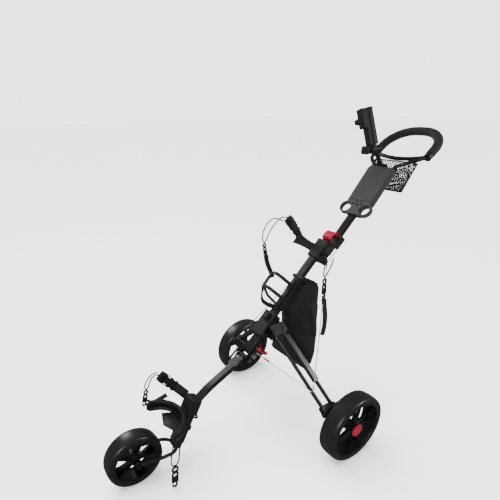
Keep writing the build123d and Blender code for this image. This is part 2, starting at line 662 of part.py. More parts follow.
def build_handle_loop():
    """Bent loop tube with its front bar and two arms from the console, and the foam on it."""
    corners = [(LOOP_HALF, 26), (LOOP_HALF, LOOP_DEPTH), (-LOOP_HALF, LOOP_DEPTH), (-LOOP_HALF, 26)]
    path = FilletPolyline(*[loop_point(*corner) for corner in corners], radius=LOOP_CORNER)
    plane = Plane(origin=path @ 0, z_dir=path % 0)
    ring = sweep(plane * Circle(9), path=path)
    bar_path = ThreePointArc(loop_point(LOOP_HALF, 26), loop_point(0, 2), loop_point(-LOOP_HALF, 26))
    bar_plane = Plane(origin=bar_path @ 0, z_dir=bar_path % 0)
    bar = sweep(bar_plane * Circle(8.5), path=bar_path)
    shape = ring + bar
    for side in (-1, 1):
        shape += Pos(*loop_point(side * LOOP_HALF, 26)) * Sphere(9.6)
        root = CONSOLE.from_local_coords(Vector(side * 47, CONSOLE_END - 3, -14))
        out = CONSOLE.from_local_coords(Vector(side * 54, CONSOLE_END + 16, -12))
        route = [root, out, Vector(side * 96, 476, 1101), loop_point(side * LOOP_HALF, 26)]
        shape += bent_rod(route, 8)
    shape -= box_between(CONSOLE, (-60, 60), (200, CONSOLE_END), (-40, 10))
    foam_path = FilletPolyline(*[loop_point(x, max(y, 40)) for x, y in corners], radius=LOOP_CORNER)
    foam_plane = Plane(origin=foam_path @ 0, z_dir=foam_path % 0)
    foam = sweep(foam_plane * (Circle(FOAM_RADIUS) - Circle(9)), path=foam_path)
    clamps = []
    for side in (-1, 1):
        block = LOOP.location * (Pos(side * LOOP_HALF, 29, 0) * Rot(90, 0, 0) * Cylinder(16.5, 20))
        clamps.append(block - shape)
    return shape, foam, clamps


BASKET_TOP = [(60, 442, 1066), (98, 512, 1092)]
BASKET_LOW = (66, 486, 970)


def build_basket():
    """Wire frame and net hanging between the console's end and the loop's front bar."""
    wires = []
    for side in (-1, 1):
        near = Vector(side * BASKET_TOP[0][0], *BASKET_TOP[0][1:])
        far = Vector(side * BASKET_TOP[1][0], *BASKET_TOP[1][1:])
        low = Vector(side * BASKET_LOW[0], *BASKET_LOW[1:])
        wires.append(peg(near, low, 2).fuse(peg(far, low, 2), Pos(*low) * Sphere(2.4)))
    bottom = peg((-BASKET_LOW[0], *BASKET_LOW[1:]), BASKET_LOW, 2)
    wire = wires[0].fuse(wires[1], bottom)
    walls = []
    for inset in (3.2, 4.6):
        top = [(-57 + inset, 443 + inset), (57 - inset, 443 + inset), (90 - inset, 508 - inset), (-90 + inset, 508 - inset)]
        low = [(-60 + inset, 480 + inset), (60 - inset, 480 + inset), (60 - inset, 494 - inset), (-60 + inset, 494 - inset)]
        upper = Pos(0, 0, 1060 + (inset - 3.2)) * make_face(Polyline(*top, close=True))
        lower = Pos(0, 0, 974 + (inset - 3.2)) * make_face(Polyline(*low, close=True))
        walls.append(loft([lower, upper], ruled=True))
    net = walls[0] - walls[1]
    return wire, net


# ---------------------------------------------------------------- straps
# Each strap is webbing, a fitting and an elastic loop that runs out of it, through the hook's eye and back.
UPPER_LEFT_WEB = [(-103, 84, 800), (-106, 80, 811), (-109, 72, 824)]
UPPER_LEFT_TAIL = [(-130, -78, 742), (-128, -66, 700), (-127, -48, 664), (-126, -33, 629)]
UPPER_RIGHT_TAIL = [(107, 33, 572), (107, 46, 545), (107, 55, 512), (107, 58, 470), (107, 53, 426)]
LOWER_LEFT_WEB = [(-38, -536, 268), (-50, -560, 296), (-57, -576, 314)]
LOWER_LEFT_TAIL = [(-84, -694, 280), (-82, -668, 262), (-80, -640, 260), (-76, -604, 271)]
UPPER_LEFT_ROUTE = [
    (-126, 27, 889),
    (-127, 2, 897),
    (-128, -28, 884),
    (-128, -55, 858),
    (-129, -73, 832),
    (-129, -78, 814),
    (-130, -82, 803),
    (-132, -90, 799),
    (-134, -97, 806),
    (-135, -98, 832),
    (-134, -91, 858),
    (-133, -74, 884),
    (-131, -46, 897),
    (-129, -18, 890),
    (-127, 6, 876),
]
UPPER_RIGHT_ROUTE = [
    (104, 62, 770),
    (105, 56, 746),
    (106, 40, 722),
    (106, 32, 712),
    (107, 27, 702),
    (107, 19, 700),
    (107, 12, 709),
    (107, 12, 728),
    (106, 14, 750),
    (104, 20, 782),
]
LOWER_LEFT_ROUTE = [
    (-78, -632, 378),
    (-80, -646, 384),
    (-82, -664, 372),
    (-84, -674, 350),
    (-84, -679, 334),
    (-84, -686, 327),
    (-85, -694, 334),
    (-85, -692, 352),
    (-84, -676, 377),
    (-81, -652, 394),
    (-79, -638, 390),
]
LOWER_RIGHT_ROUTE = [
    (111, -680, 214),
    (115, -689, 184),
    (118, -696, 152),
    (120, -697, 130),
    (121, -692, 121),
    (121, -682, 118),
    (121, -673, 121),
    (120, -667, 130),
    (118, -662, 150),
    (115, -658, 178),
    (111, -656, 206),
]
# Buckles and hooks as (start, end, width, thickness)
UPPER_FITTINGS = [
    ((-109, 72, 824.5), (-126, 27, 888), 36, 13),
    ((-132, -90, 797), (-130, -75, 727), 20, 10),
    ((107, 21, 697), (107, 30, 604), 24, 10),
]
LOWER_FITTINGS = [
    ((-57, -576, 314), (-78, -632, 377), 38, 13),
    ((-85, -688, 325), (-84, -702, 254), 22, 10),
    ((121, -682, 115), (123, -687, 14), 30, 11),
]


def fitting(start, end, width, thick, across):
    start, end = Vector(*start), Vector(*end)
    run = end - start
    plane = Plane(origin=start, x_dir=across, z_dir=run)
    return plane.location * extrude(RectangleRounded(width, thick, 2), amount=run.length)


def build_straps():
    backward = (0, 1, 0)
    fittings = [fitting(*UPPER_FITTINGS[0], MAIN.y_dir)]
    fittings += [fitting(*piece, backward) for piece in UPPER_FITTINGS[1:]]
    lower_fittings = [fitting(*LOWER_FITTINGS[0], MAIN.y_dir)]
    lower_fittings += [fitting(*piece, backward) for piece in LOWER_FITTINGS[1:]]
    keep("upper_strap_fittings", *fittings)
    keep("lower_strap_fittings", *lower_fittings)
    webs = [
        strap(UPPER_LEFT_WEB, 28, WEBBING, MAIN.y_dir) - fittings[0],
        strap(UPPER_LEFT_TAIL, 16, WEBBING, (1, 0, 0)) - fittings[1],
        strap(UPPER_RIGHT_TAIL, 18, WEBBING, (1, 0, 0)) - fittings[2],
    ]
    keep("upper_strap_webbing", *webs)
    webs = [
        strap(LOWER_LEFT_WEB, 32, WEBBING, MAIN.y_dir) - build_fork_housing() - lower_fittings[0],
        strap(LOWER_LEFT_TAIL, 14, WEBBING, (1, 0, 0)) - lower_fittings[1],
    ]
    keep("lower_strap_webbing", *webs)
    routes = {
        "upper_left_elastic": (UPPER_LEFT_ROUTE, fittings),
        "upper_right_elastic": (UPPER_RIGHT_ROUTE, fittings),
        "lower_left_elastic": (LOWER_LEFT_ROUTE, lower_fittings),
        "lower_right_elastic": (LOWER_RIGHT_ROUTE, lower_fittings),
    }
    for name, (route, pieces) in routes.items():
        print(name, "bend radii", [round(radius, 1) for radius in bend_radii(route)])
        cord = bent_rod(route, CORD_RADIUS)
        for piece in pieces:
            cord -= piece
        keep(name, max(cord.solids(), key=lambda solid: solid.volume))


def build_all():
    keep("main_tube", build_main_tube())
    keep("hub_housing", build_hub())
    bracket = build_leg_bracket()
    keep("leg_brackets", *both_sides(bracket))
    collar = box_between(MAIN, (-27, 27), (390, 404), (-15, 15), 3) - main_envelope(380, 410)
    keep("collar", collar)
    keep("upper_bag_bracket", build_upper_bracket())
    keep("frame_bolts", *build_frame_bolts())
    keep("bottle_cage", build_bottle_cage() - main_envelope(200, 420))
    keep("storage_pouch", build_pouch())
    brake_bracket, pedal, _ = build_brake()
    keep("brake_bracket", brake_bracket - main_envelope(40, 120))
    keep("brake_pedal", pedal)

    rivet, fore, guide, latch = cable_runs()
    stay_run = (rivet - guide).normalized()
    keep("stay_cables", *both_sides(peg(guide + stay_run * 3, rivet + LEG_AXIS * 2, STAY_RADIUS)))
    keep("brake_cables", *both_sides(peg(fore, rivet - LEG_AXIS * 2 + Vector(0, -7, 0), 1.5)))
    keep("handle_stay_cables", *both_sides(peg(latch, guide, STAY_RADIUS)))

    keep("front_tube", build_front_tube())
    keep("fork_housing", build_fork_housing())
    keep("fork", build_fork())
    keep("lower_bag_cradle", build_lower_cradle())
    keep("release_knob", build_release_knob())
    build_front_wheel()

    legs = {
        "front_leg_tube": [build_leg(0, False)],
        "rear_leg_tube": [build_leg(1, True)],
        "wheel_carrier": [build_carrier()],
        **build_rear_wheel(),
    }
    for name, shapes in legs.items():
        keep("left_" + name, *shapes)
        keep("right_" + name, *[mirror(shape, about=Plane.YZ) for shape in shapes])

    keep("handle_tube", build_handle_tube())
    latch_bracket, lever = build_latch()
    keep("latch_bracket", latch_bracket)
    keep("latch_lever", lever)
    keep("console_base", build_console())
    keep("console_lid", build_console_lid())
    bracket, tube, tilt_knob, clamp_knob = build_umbrella()
    keep("umbrella_bracket", bracket)
    keep("umbrella_tube", tube)
    keep("umbrella_tilt_knob", tilt_knob)
    keep("umbrella_clamp_knob", clamp_knob)
    loop, foam, clamps = build_handle_loop()
    keep("handle_loop", loop)
    keep("foam_grip", foam)
    keep("grip_clamps", *clamps)
    wire, net = build_basket()
    keep("basket_wire", wire)
    keep("basket_net", net)
    build_straps()


build_all()
os.makedirs("parts", exist_ok=True)
for name, shape in parts.items():
    export_step(shape.moved(Location((0, CENTRE_SHIFT, 0))), f"parts/{name}.step")
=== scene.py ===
import json
import math

import bmesh
import bpy
import numpy as np
from mathutils import Matrix, Vector
from mathutils.bvhtree import BVHTree


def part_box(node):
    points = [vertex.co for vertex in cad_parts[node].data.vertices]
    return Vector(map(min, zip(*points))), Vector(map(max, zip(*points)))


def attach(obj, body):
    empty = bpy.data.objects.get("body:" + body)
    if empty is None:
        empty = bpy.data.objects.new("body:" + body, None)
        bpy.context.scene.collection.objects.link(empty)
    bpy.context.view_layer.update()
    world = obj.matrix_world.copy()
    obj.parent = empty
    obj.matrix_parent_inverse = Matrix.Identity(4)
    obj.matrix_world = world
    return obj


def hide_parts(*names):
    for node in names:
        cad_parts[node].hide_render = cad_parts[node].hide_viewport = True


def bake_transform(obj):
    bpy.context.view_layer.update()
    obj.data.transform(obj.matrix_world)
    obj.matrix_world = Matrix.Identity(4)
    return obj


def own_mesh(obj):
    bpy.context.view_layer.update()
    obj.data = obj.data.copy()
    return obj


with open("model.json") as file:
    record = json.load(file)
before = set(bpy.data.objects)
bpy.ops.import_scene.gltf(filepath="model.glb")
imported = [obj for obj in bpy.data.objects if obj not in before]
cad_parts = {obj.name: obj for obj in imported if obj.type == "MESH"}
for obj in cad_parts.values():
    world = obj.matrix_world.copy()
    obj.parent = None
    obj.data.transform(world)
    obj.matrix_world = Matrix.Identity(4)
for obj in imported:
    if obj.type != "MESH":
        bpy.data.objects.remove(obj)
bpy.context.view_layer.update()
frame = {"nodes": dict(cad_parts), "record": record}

# The row frame is in metres. The lengths below are the part's own design millimetres,
# whose y = 0 is the rear axle line.
rim_low, rim_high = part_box("left_rim")
AXLE_Y = (rim_low.y + rim_high.y) / 2


def at(x, y, z):
    return Vector((x / 1000, y / 1000 + AXLE_Y, z / 1000))


PITCH = math.radians(45.8)
FOLD_Y, FOLD_Z = -282.0, 381.5
MAIN_ALONG = Vector((0, math.cos(PITCH), math.sin(PITCH)))
ACROSS = Vector((1, 0, 0))
BACKWARD = Vector((0, 1, 0))
TURNED = Vector((0.504, 0.864, 0))  # width direction of the loose strap tails


def on_main(x, s, w):
    """x across, s along the main tube from the front fold, w towards the bag."""
    y = FOLD_Y + s * math.cos(PITCH) - w * math.sin(PITCH)
    z = FOLD_Z + s * math.sin(PITCH) + w * math.cos(PITCH)
    return at(x, y, z)


# ---------------------------------------------------------------- camera
AZIMUTH, ELEVATION, ROLL = math.radians(59.75), math.radians(23.72), math.radians(-1.22)
FOCAL = 402.76 / 500
PRINCIPAL = (184.09 / 500, 278.96 / 500)
SENSOR = 36.0

back = Vector(
    (
        math.sin(AZIMUTH) * math.cos(ELEVATION),
        -math.cos(AZIMUTH) * math.cos(ELEVATION),
        math.sin(ELEVATION),
    )
)
level = Vector((0, 0, 1)).cross(back).normalized()
upright = back.cross(level)
right = level * math.cos(ROLL) + upright * math.sin(ROLL)
up = upright * math.cos(ROLL) - level * math.sin(ROLL)
camera_data = bpy.data.cameras.new("camera")
camera = bpy.data.objects.new("camera", camera_data)
bpy.context.scene.collection.objects.link(camera)
camera.matrix_world = Matrix.Translation(at(1078.41, -1185.67, 1342.43)) @ Matrix(
    (right, up, back)
).transposed().to_4x4()
camera_data.sensor_width = SENSOR
camera_data.lens = FOCAL * SENSOR
camera_data.shift_x = 0.5 - PRINCIPAL[0]
camera_data.shift_y = PRINCIPAL[1] - 0.5
bpy.context.scene.camera = camera


# ---------------------------------------------------------------- materials
def node(tree, kind, **values):
    made = tree.nodes.new(kind)
    for name, value in values.items():
        if name in made.inputs:
            made.inputs[name].default_value = value
        else:
            setattr(made, name, value)
    return made


def surface(
    name,
    dark,
    pale,
    rough,
    grain,
    bump,
    metallic=0.0,
    coat=0.0,
    sheen=0.0,
    edge=0.0,
    weave=None,
    gloss=0.4,
):
    """Noise-mottled finish. grain is the noise scale, bump its height in metres, edge the soft-edge radius.

    weave is (kind, scale, height): "object" crosses two bands in the row frame, "strip" in a strap's UVs."""
    material = bpy.data.materials.new(name)
    material.use_nodes = True
    tree = material.node_tree
    bsdf = tree.nodes["Principled BSDF"]
    bsdf.inputs["Metallic"].default_value = metallic
    bsdf.inputs["Coat Weight"].default_value = coat
    bsdf.inputs["Coat Roughness"].default_value = 0.25
    bsdf.inputs["Specular IOR Level"].default_value = gloss
    bsdf.inputs["Sheen Weight"].default_value = sheen
    bsdf.inputs["Sheen Roughness"].default_value = 0.45
    place = node(tree, "ShaderNodeTexCoord")
    broad = node(tree, "ShaderNodeTexNoise", Scale=14.0, Detail=5.0, Roughness=0.6)
    fine = node(tree, "ShaderNodeTexNoise", Scale=grain, Detail=3.0, Roughness=0.55)
    link = tree.links.new
    link(place.outputs["Object"], broad.inputs["Vector"])
    link(place.outputs["Object"], fine.inputs["Vector"])
    blend = node(tree, "ShaderNodeMixRGB", Color1=(*dark, 1), Color2=(*pale, 1))
    link(broad.outputs["Fac"], blend.inputs["Fac"])
    spread = node(tree, "ShaderNodeMapRange")
    spread.inputs["From Min"].default_value = 0.3
    spread.inputs["From Max"].default_value = 0.7
    spread.inputs["To Min"].default_value = rough - 0.07
    spread.inputs["To Max"].default_value = rough + 0.07
    link(fine.outputs["Fac"], spread.inputs["Value"])
    link(spread.outputs["Result"], bsdf.inputs["Roughness"])
    height = node(tree, "ShaderNodeBump", Strength=1.0, Distance=bump)
    link(fine.outputs["Fac"], height.inputs["Height"])
    colour = blend.outputs["Color"]
    normal = height.outputs["Normal"]
    if edge:
        soft = node(tree, "ShaderNodeBevel", Radius=edge)
        soft.samples = 4
        link(soft.outputs["Normal"], height.inputs["Normal"])
    if weave:
        kind, scale, depth = weave
        coordinate = place.outputs["UV" if kind == "strip" else "Object"]
        bands = []
        directions = ("X", "Y") if kind == "strip" else ("X", "Z")
        for direction in directions:
            band = node(tree, "ShaderNodeTexWave", bands_direction=direction, Scale=scale)
            link(coordinate, band.inputs["Vector"])
            bands.append(band)
        cross = node(tree, "ShaderNodeMath", operation="MAXIMUM")
        link(bands[0].outputs["Fac"], cross.inputs[0])
        link(bands[1].outputs["Fac"], cross.inputs[1])
        threads = node(tree, "ShaderNodeBump", Strength=1.0, Distance=depth)
        link(cross.outputs["Value"], threads.inputs["Height"])
        link(normal, threads.inputs["Normal"])
        normal = threads.outputs["Normal"]
        shade = node(tree, "ShaderNodeMixRGB", blend_type="MULTIPLY", Fac=0.55)
        link(colour, shade.inputs["Color1"])
        link(cross.outputs["Value"], shade.inputs["Color2"])
        colour = shade.outputs["Color"]
    link(colour, bsdf.inputs["Base Color"])
    link(normal, bsdf.inputs["Normal"])
    return material


def grey(value):
    return (value, value, value * 1.04)


MATERIALS = {
    "tyre": surface("tyre_rubber", grey(0.004), grey(0.008), 0.34, 380, 0.00006, gloss=0.6),
    "foam": surface("grip_foam", grey(0.005), grey(0.009), 0.72, 900, 0.00025, sheen=0.04),
    "pouch_fabric": surface(
        "pouch_cloth", grey(0.003), grey(0.006), 0.7, 260, 0.0002, sheen=0.03, weave=("object", 210, 0.0001)
    ),
    "webbing": surface(
        "strap_webbing", grey(0.006), grey(0.011), 0.7, 600, 0.0001, sheen=0.05, weave=("strip", 190, 0.00025)
    ),
    "elastic_cord": surface(
        "elastic_braid", grey(0.005), grey(0.01), 0.6, 700, 0.0001, sheen=0.04, weave=("object", 190, 0.00015)
    ),
    "net": surface("net_cord", grey(0.008), grey(0.016), 0.65, 900, 0.0001),
    "red_plastic": surface(
        "red_moulding", (0.2, 0.004, 0.018), (0.26, 0.006, 0.024), 0.36, 700, 0.00004, edge=0.0015
    ),
    "steel": surface("bolt_steel", grey(0.05), grey(0.08), 0.34, 500, 0.00004, metallic=1.0, edge=0.0006),
    "wire": surface("stay_wire", grey(0.55), grey(0.7), 0.3, 1400, 0.0001, metallic=1.0),
    "black_paint": surface(
        "powder_coat", grey(0.003), grey(0.006), 0.27, 1600, 0.00001, coat=0.15, edge=0.0008
    ),
    "black_plastic": surface("black_moulding", grey(0.004), grey(0.007), 0.46, 1300, 0.00006, edge=0.0016),
    "grey_plastic": surface("grey_moulding", grey(0.018), grey(0.024), 0.5, 1300, 0.00006, edge=0.0014),
    "rim_plastic": surface("rim_moulding", grey(0.003), grey(0.006), 0.38, 900, 0.00005, edge=0.0012),
}
for part in frame["record"]["subparts"]:
    shown = frame["nodes"][part["node"]]
    shown.data.materials.clear()
    shown.data.materials.append(MATERIALS[part["material_slot"]])


# ---------------------------------------------------------------- mesh tools
class Shape:
    """Vertices, faces and UVs (metres) gathered from sweeps and turned profiles."""

    def __init__(self):
        self.points, self.faces, self.uvs = [], [], []

    def rings(self, rings, closed_path=False, lengths=None):
        """Skin over rings of equal point counts."""
        base, count = len(self.points), len(rings[0])
        lengths = lengths or [index * 0.01 for index in range(len(rings))]
        for ring, u in zip(rings, lengths):
            v = 0.0
            for index, point in enumerate(ring):
                if index:
                    v += (ring[index] - ring[index - 1]).length
                self.points.append(point)
                self.uvs.append((u, v))
        last = len(rings) if closed_path else len(rings) - 1
        for i in range(last):
            j = (i + 1) % len(rings)
            for a in range(count):
                b = (a + 1) % count
                near, far = base + i * count, base + j * count
                self.faces.append((near + a, near + b, far + b, far + a))
        if not closed_path:
            self.faces.append(tuple(base + a for a in reversed(range(count))))
            self.faces.append(tuple(base + (len(rings) - 1) * count + a for a in range(count)))

    def sweep(self, path, section, across=None, closed=False, scales=None):
        """Carry a section [(across, out)] along a path."""
        count = len(path)
        steps = [(path[(i + 1) % count] - path[i]) for i in range(count if closed else count - 1)]
        tangents = []
        for i in range(count):
            before = steps[i - 1] if (i or closed) else steps[0]
            after = steps[i] if i < len(steps) else steps[-1]
            tangents.append((before.normalized() + after.normalized()).normalized())
        side = across or Vector((0.31, 0.17, 0.93))
        rings, lengths, run = [], [], 0.0
        for i, (point, tangent) in enumerate(zip(path, tangents)):
            side = ((across or side) - tangent * tangent.dot(across or side)).normalized()
            out = tangent.cross(side)
            size = scales[i] if scales else 1.0
            rings.append([point + (side * a + out * b) * size for a, b in section])
            lengths.append(run)
            if i < len(steps):
                run += steps[i].length
        self.rings(rings, closed_path=closed, lengths=lengths)

    def turned(self, profile, centre, axis, count=96, lobes=0, wobble=0.0, phase=0.0):
        """Closed profile [(along, radius)] in mm, turned about an axis. lobes scallop it by wobble."""
        axis = axis.normalized()
        side = axis.orthogonal().normalized()
        out = axis.cross(side)
        rings = []
        for index in range(count):
            angle = 2 * math.pi * index / count + phase
            scale = 1 + wobble * math.cos(lobes * angle) if lobes else 1.0
            spoke = side * math.cos(angle) + out * math.sin(angle)
            rings.append([centre + axis * (a / 1000) + spoke * (r * scale / 1000) for a, r in profile])
        self.rings(rings, closed_path=True)

    def bar(self, start, end, width, thick, across, soft=2.0):
        """Rounded block from start to end, in mm across its section."""
        length = (end - start).length
        full = length * 1000
        ends = (0.0, soft * 0.3, soft, full / 2, full - soft, full - soft * 0.3, full)
        path = [start + (end - start).normalized() * (d / 1000) for d in ends]
        shrink = 1 - soft * 0.9 / max(width, thick)
        scales = [shrink, 1 - (1 - shrink) * 0.35, 1, 1, 1, 1 - (1 - shrink) * 0.35, shrink]
        self.sweep(path, rounded(width, thick, min(soft, thick * 0.45)), across, scales=scales)

    def ring_link(self, centre, along, across, length, width, wire):
        """Closed rounded-rectangle link."""
        outline = rounded(width - wire, length - wire, min(width, length) * 0.28)
        path = [centre + across * a + along * b for a, b in outline]
        self.sweep(path, circle(wire / 2, 10), across.cross(along), closed=True)


def circle(radius, count=16):
    """Section of a round bar, radius in mm."""
    turn = 2 * math.pi / count
    return [(radius / 1000 * math.cos(i * turn), radius / 1000 * math.sin(i * turn)) for i in range(count)]


def rounded(width, thick, radius, steps=4):
    """Rounded rectangle in metres from sizes in mm."""
    points = []
    for quarter, (sx, sy) in enumerate(((1, 1), (-1, 1), (-1, -1), (1, -1))):
        cx, cy = sx * (width / 2 - radius), sy * (thick / 2 - radius)
        for step in range(steps + 1):
            angle = math.pi / 2 * (quarter + step / steps)
            points.append(((cx + radius * math.cos(angle)) / 1000, (cy + radius * math.sin(angle)) / 1000))
    return points


def make(shape, name, slot, body=None, replaces=(), crease=38.0):
    """Turn a gathered shape into a named object with its material."""
    mesh = bpy.data.meshes.new(name)
    mesh.from_pydata(shape.points, [], shape.faces)
    layer = mesh.uv_layers.new(name="UVMap")
    for loop in mesh.loops:
        layer.data[loop.index].uv = shape.uvs[loop.vertex_index]
    mesh.validate()
    mesh.polygons.foreach_set("use_smooth", [True] * len(mesh.polygons))
    mesh.set_sharp_from_angle(angle=math.radians(crease))
    mesh.update()
    made = bpy.data.objects.new(name, mesh)
    bpy.context.scene.collection.objects.link(made)
    outward(made)
    made.data.materials.append(MATERIALS[slot])
    if body:
        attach(made, body)
    if replaces:
        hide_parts(*replaces)
    return made


def outward(made):
    """Point every face outward."""
    work = bmesh.new()
    work.from_mesh(made.data)
    bmesh.ops.recalc_face_normals(work, faces=work.faces)
    work.to_mesh(made.data)
    work.free()


def curve_points(points, count):
    """Evenly spaced points on a smooth curve through a few points."""
    points = [points[0] * 2 - points[1], *points, points[-1] * 2 - points[-2]]
    spans = len(points) - 3
    found = []
    for index in range(count):
        place = index / (count - 1) * spans
        span = min(int(place), spans - 1)
        t = place - span
        a, b, c, d = points[span : span + 4]
        found.append(
            0.5
            * (2 * b + (c - a) * t + (2 * a - 5 * b + 4 * c - d) * t**2 + (3 * b - a - 3 * c + d) * t**3)
        )
    return found


# ---------------------------------------------------------------- elastic loops
UPPER_LEFT_ROUTE = [
    (-126, 27, 889),
    (-127, 2, 897),
    (-128, -28, 884),
    (-128, -55, 858),
    (-129, -73, 832),
    (-129, -78, 814),
    (-130, -82, 803),
    (-132, -90, 799),
    (-134, -97, 806),
    (-135, -98, 832),
    (-134, -91, 858),
    (-133, -74, 884),
    (-131, -46, 897),
    (-129, -18, 890),
    (-127, 6, 876),
]
UPPER_RIGHT_ROUTE = [
    (104, 62, 770),
    (105, 56, 746),
    (106, 40, 722),
    (106, 32, 712),
    (107, 27, 702),
    (107, 19, 700),
    (107, 12, 709),
    (107, 12, 728),
    (106, 14, 750),
    (104, 20, 782),
]
LOWER_LEFT_ROUTE = [
    (-78, -632, 378),
    (-80, -646, 384),
    (-82, -664, 372),
    (-84, -674, 350),
    (-84, -679, 334),
    (-84, -686, 327),
    (-85, -694, 334),
    (-85, -692, 352),
    (-84, -676, 377),
    (-81, -652, 394),
    (-79, -638, 390),
]
LOWER_RIGHT_ROUTE = [
    (111, -680, 214),
    (115, -689, 184),
    (118, -696, 152),
    (120, -697, 130),
    (121, -692, 121),
    (121, -682, 118),
    (121, -673, 121),
    (120, -667, 130),
    (118, -662, 150),
    (115, -658, 178),
    (111, -656, 206),
]
CORD_DIAMETER = 5.2


def elastic(name, route, body):
    data = bpy.data.curves.new(name, "CURVE")
    data.dimensions = "3D"
    data.bevel_depth = CORD_DIAMETER / 2000
    data.bevel_resolution = 4
    data.resolution_u = 12
    spline = data.splines.new("NURBS")
    spline.points.add(len(route) - 1)
    for point, place in zip(spline.points, route):
        point.co = (*at(*place), 1.0)
    spline.order_u = 3
    spline.use_endpoint_u = True
    made = bpy.data.objects.new(name + "_cord", data)
    bpy.context.scene.collection.objects.link(made)
    data.materials.append(MATERIALS["elastic_cord"])
    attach(made, body)
    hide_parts(name)


# ---------------------------------------------------------------- strap fittings
def webbing(name, path, width, across, body, node_name):
    """Flat strap along a smoothed line, with a stitched hem at its free end."""
    shape = Shape()
    places = curve_points([at(*p) if not isinstance(p, Vector) else p for p in path], 28)
    shape.sweep(places, rounded(width, 2.2, 0.9, 2), across)
    for start in (2, 4):
        bend = places[-start - 1] - places[-start]
        stitch = [places[-start] + across * (width / 2000 * t) for t in (-0.8, -0.4, 0, 0.4, 0.8)]
        lift = bend.cross(across).normalized() * 0.0012
        shape.sweep([p + lift for p in stitch], circle(0.45, 6))
    made = make(shape, name, "webbing", body, [node_name])


def hook(name, start, end, width, thick, across, body, node_name):
    """Ladder-lock adjuster that carries a flat J hook."""
    start, end = at(*start), at(*end)
    run = end - start
    along, length = run.normalized(), run.length * 1000
    across = (across - along * along.dot(across)).normalized()
    out = along.cross(across)
    shape = Shape()
    wire = thick * 0.75
    third = length * 0.3
    for index in (0, 1):
        centre = start + along * ((third * (0.5 + index * 0.86)) / 1000)
        shape.ring_link(centre, along, across, third, width, wire)
    shape.bar(
        start + along * (third * 1.7 / 1000),
        start + along * (length * 0.74 / 1000),
        width * 0.92,
        thick * 0.85,
        across,
        2.4,
    )
    adjuster = make(shape, name + "_adjuster", "black_plastic", body, [node_name])
    shape = Shape()
    reach = thick * 0.45
    path = [
        start + along * (length * a / 1000) + across * (width * b / 1000) + out * (reach * c / 1000)
        for a, b, c in (
            (0.7, 0.1, 0),
            (0.82, 0.26, 0),
            (0.93, 0.2, 0.1),
            (0.965, -0.08, 0.1),
            (0.9, -0.3, 0.0),
            (0.8, -0.34, 0.0),
        )
    ]
    places = curve_points(path, 26)
    taper = [1.0] * 18 + [1.0 - 0.05 * i for i in range(8)]
    shape.sweep(places, circle(wire * 0.48, 12), out, scales=taper)
    make(shape, name, "black_plastic", body, [node_name])
    return adjuster


PRONG = ((0.36, 0.36), (0.46, 0.44), (0.55, 0.46), (0.64, 0.38))


def buckle(name, start, end, width, thick, across, body, node_name):
    """Side-release buckle: socket, the two squeeze prongs in its windows, and the strap bar."""
    start, end = at(*start), at(*end)
    run = end - start
    along = run.normalized()
    across = (across - along * along.dot(across)).normalized()
    out = along.cross(across)
    shape = Shape()

    def place(t, side=0.0, rise=0.0):
        return start + run * t + across * (side * width / 1000) + out * (rise * thick / 1000)

    shape.bar(place(0.0), place(0.1), width, thick * 0.7, across, 1.6)
    shape.bar(place(0.06), place(0.34), width * 0.82, thick * 0.8, across, 1.8)
    shape.bar(place(0.3), place(0.9), width * 0.66, thick, across, 2.2)
    shape.bar(place(0.62), place(0.9), width, thick, across, 2.2)
    shape.bar(place(0.3), place(0.38), width, thick, across, 1.6)
    for side in (-1, 1):
        prong = [place(t, side * spread) for t, spread in PRONG]
        shape.sweep(curve_points(prong, 12), rounded(3.2, thick * 0.62, 1.2), across)
    for t in (0.42, 0.5, 0.58):
        shape.sweep([place(t, -0.26, 0.5), place(t, 0.26, 0.5)], circle(0.8, 8))
    shape.bar(place(0.86), place(1.0), width * 0.9, thick * 0.75, across, 1.8)
    make(shape, name, "black_plastic", body, [node_name])


buckle(
    "upper_buckle", (-109, 72, 824.5), (-126, 27, 888), 40, 13, MAIN_ALONG, "frame", "upper_strap_fittings"
)
upper_left_hook = hook(
    "upper_left_hook", (-132, -90, 797), (-130, -75, 727), 20, 10, BACKWARD, "frame", "upper_strap_fittings"
)
upper_right_hook = hook(
    "upper_right_hook", (107, 21, 697), (107, 30, 604), 24, 10, BACKWARD, "frame", "upper_strap_fittings"
)
buckle(
    "lower_buckle", (-57, -576, 314), (-78, -632, 377), 44, 13, MAIN_ALONG, "front", "lower_strap_fittings"
)
lower_left_hook = hook(
    "lower_left_hook", (-85, -688, 325), (-84, -702, 254), 22, 10, BACKWARD, "front", "lower_strap_fittings"
)
lower_right_hook = hook(
    "lower_right_hook", (121, -682, 115), (123, -687, 14), 30, 11, BACKWARD, "front", "lower_strap_fittings"
)
elastic("upper_left_elastic", UPPER_LEFT_ROUTE, "frame")
elastic("upper_right_elastic", UPPER_RIGHT_ROUTE, "frame")
elastic("lower_left_elastic", LOWER_LEFT_ROUTE, "front")
elastic("lower_right_elastic", LOWER_RIGHT_ROUTE, "front")

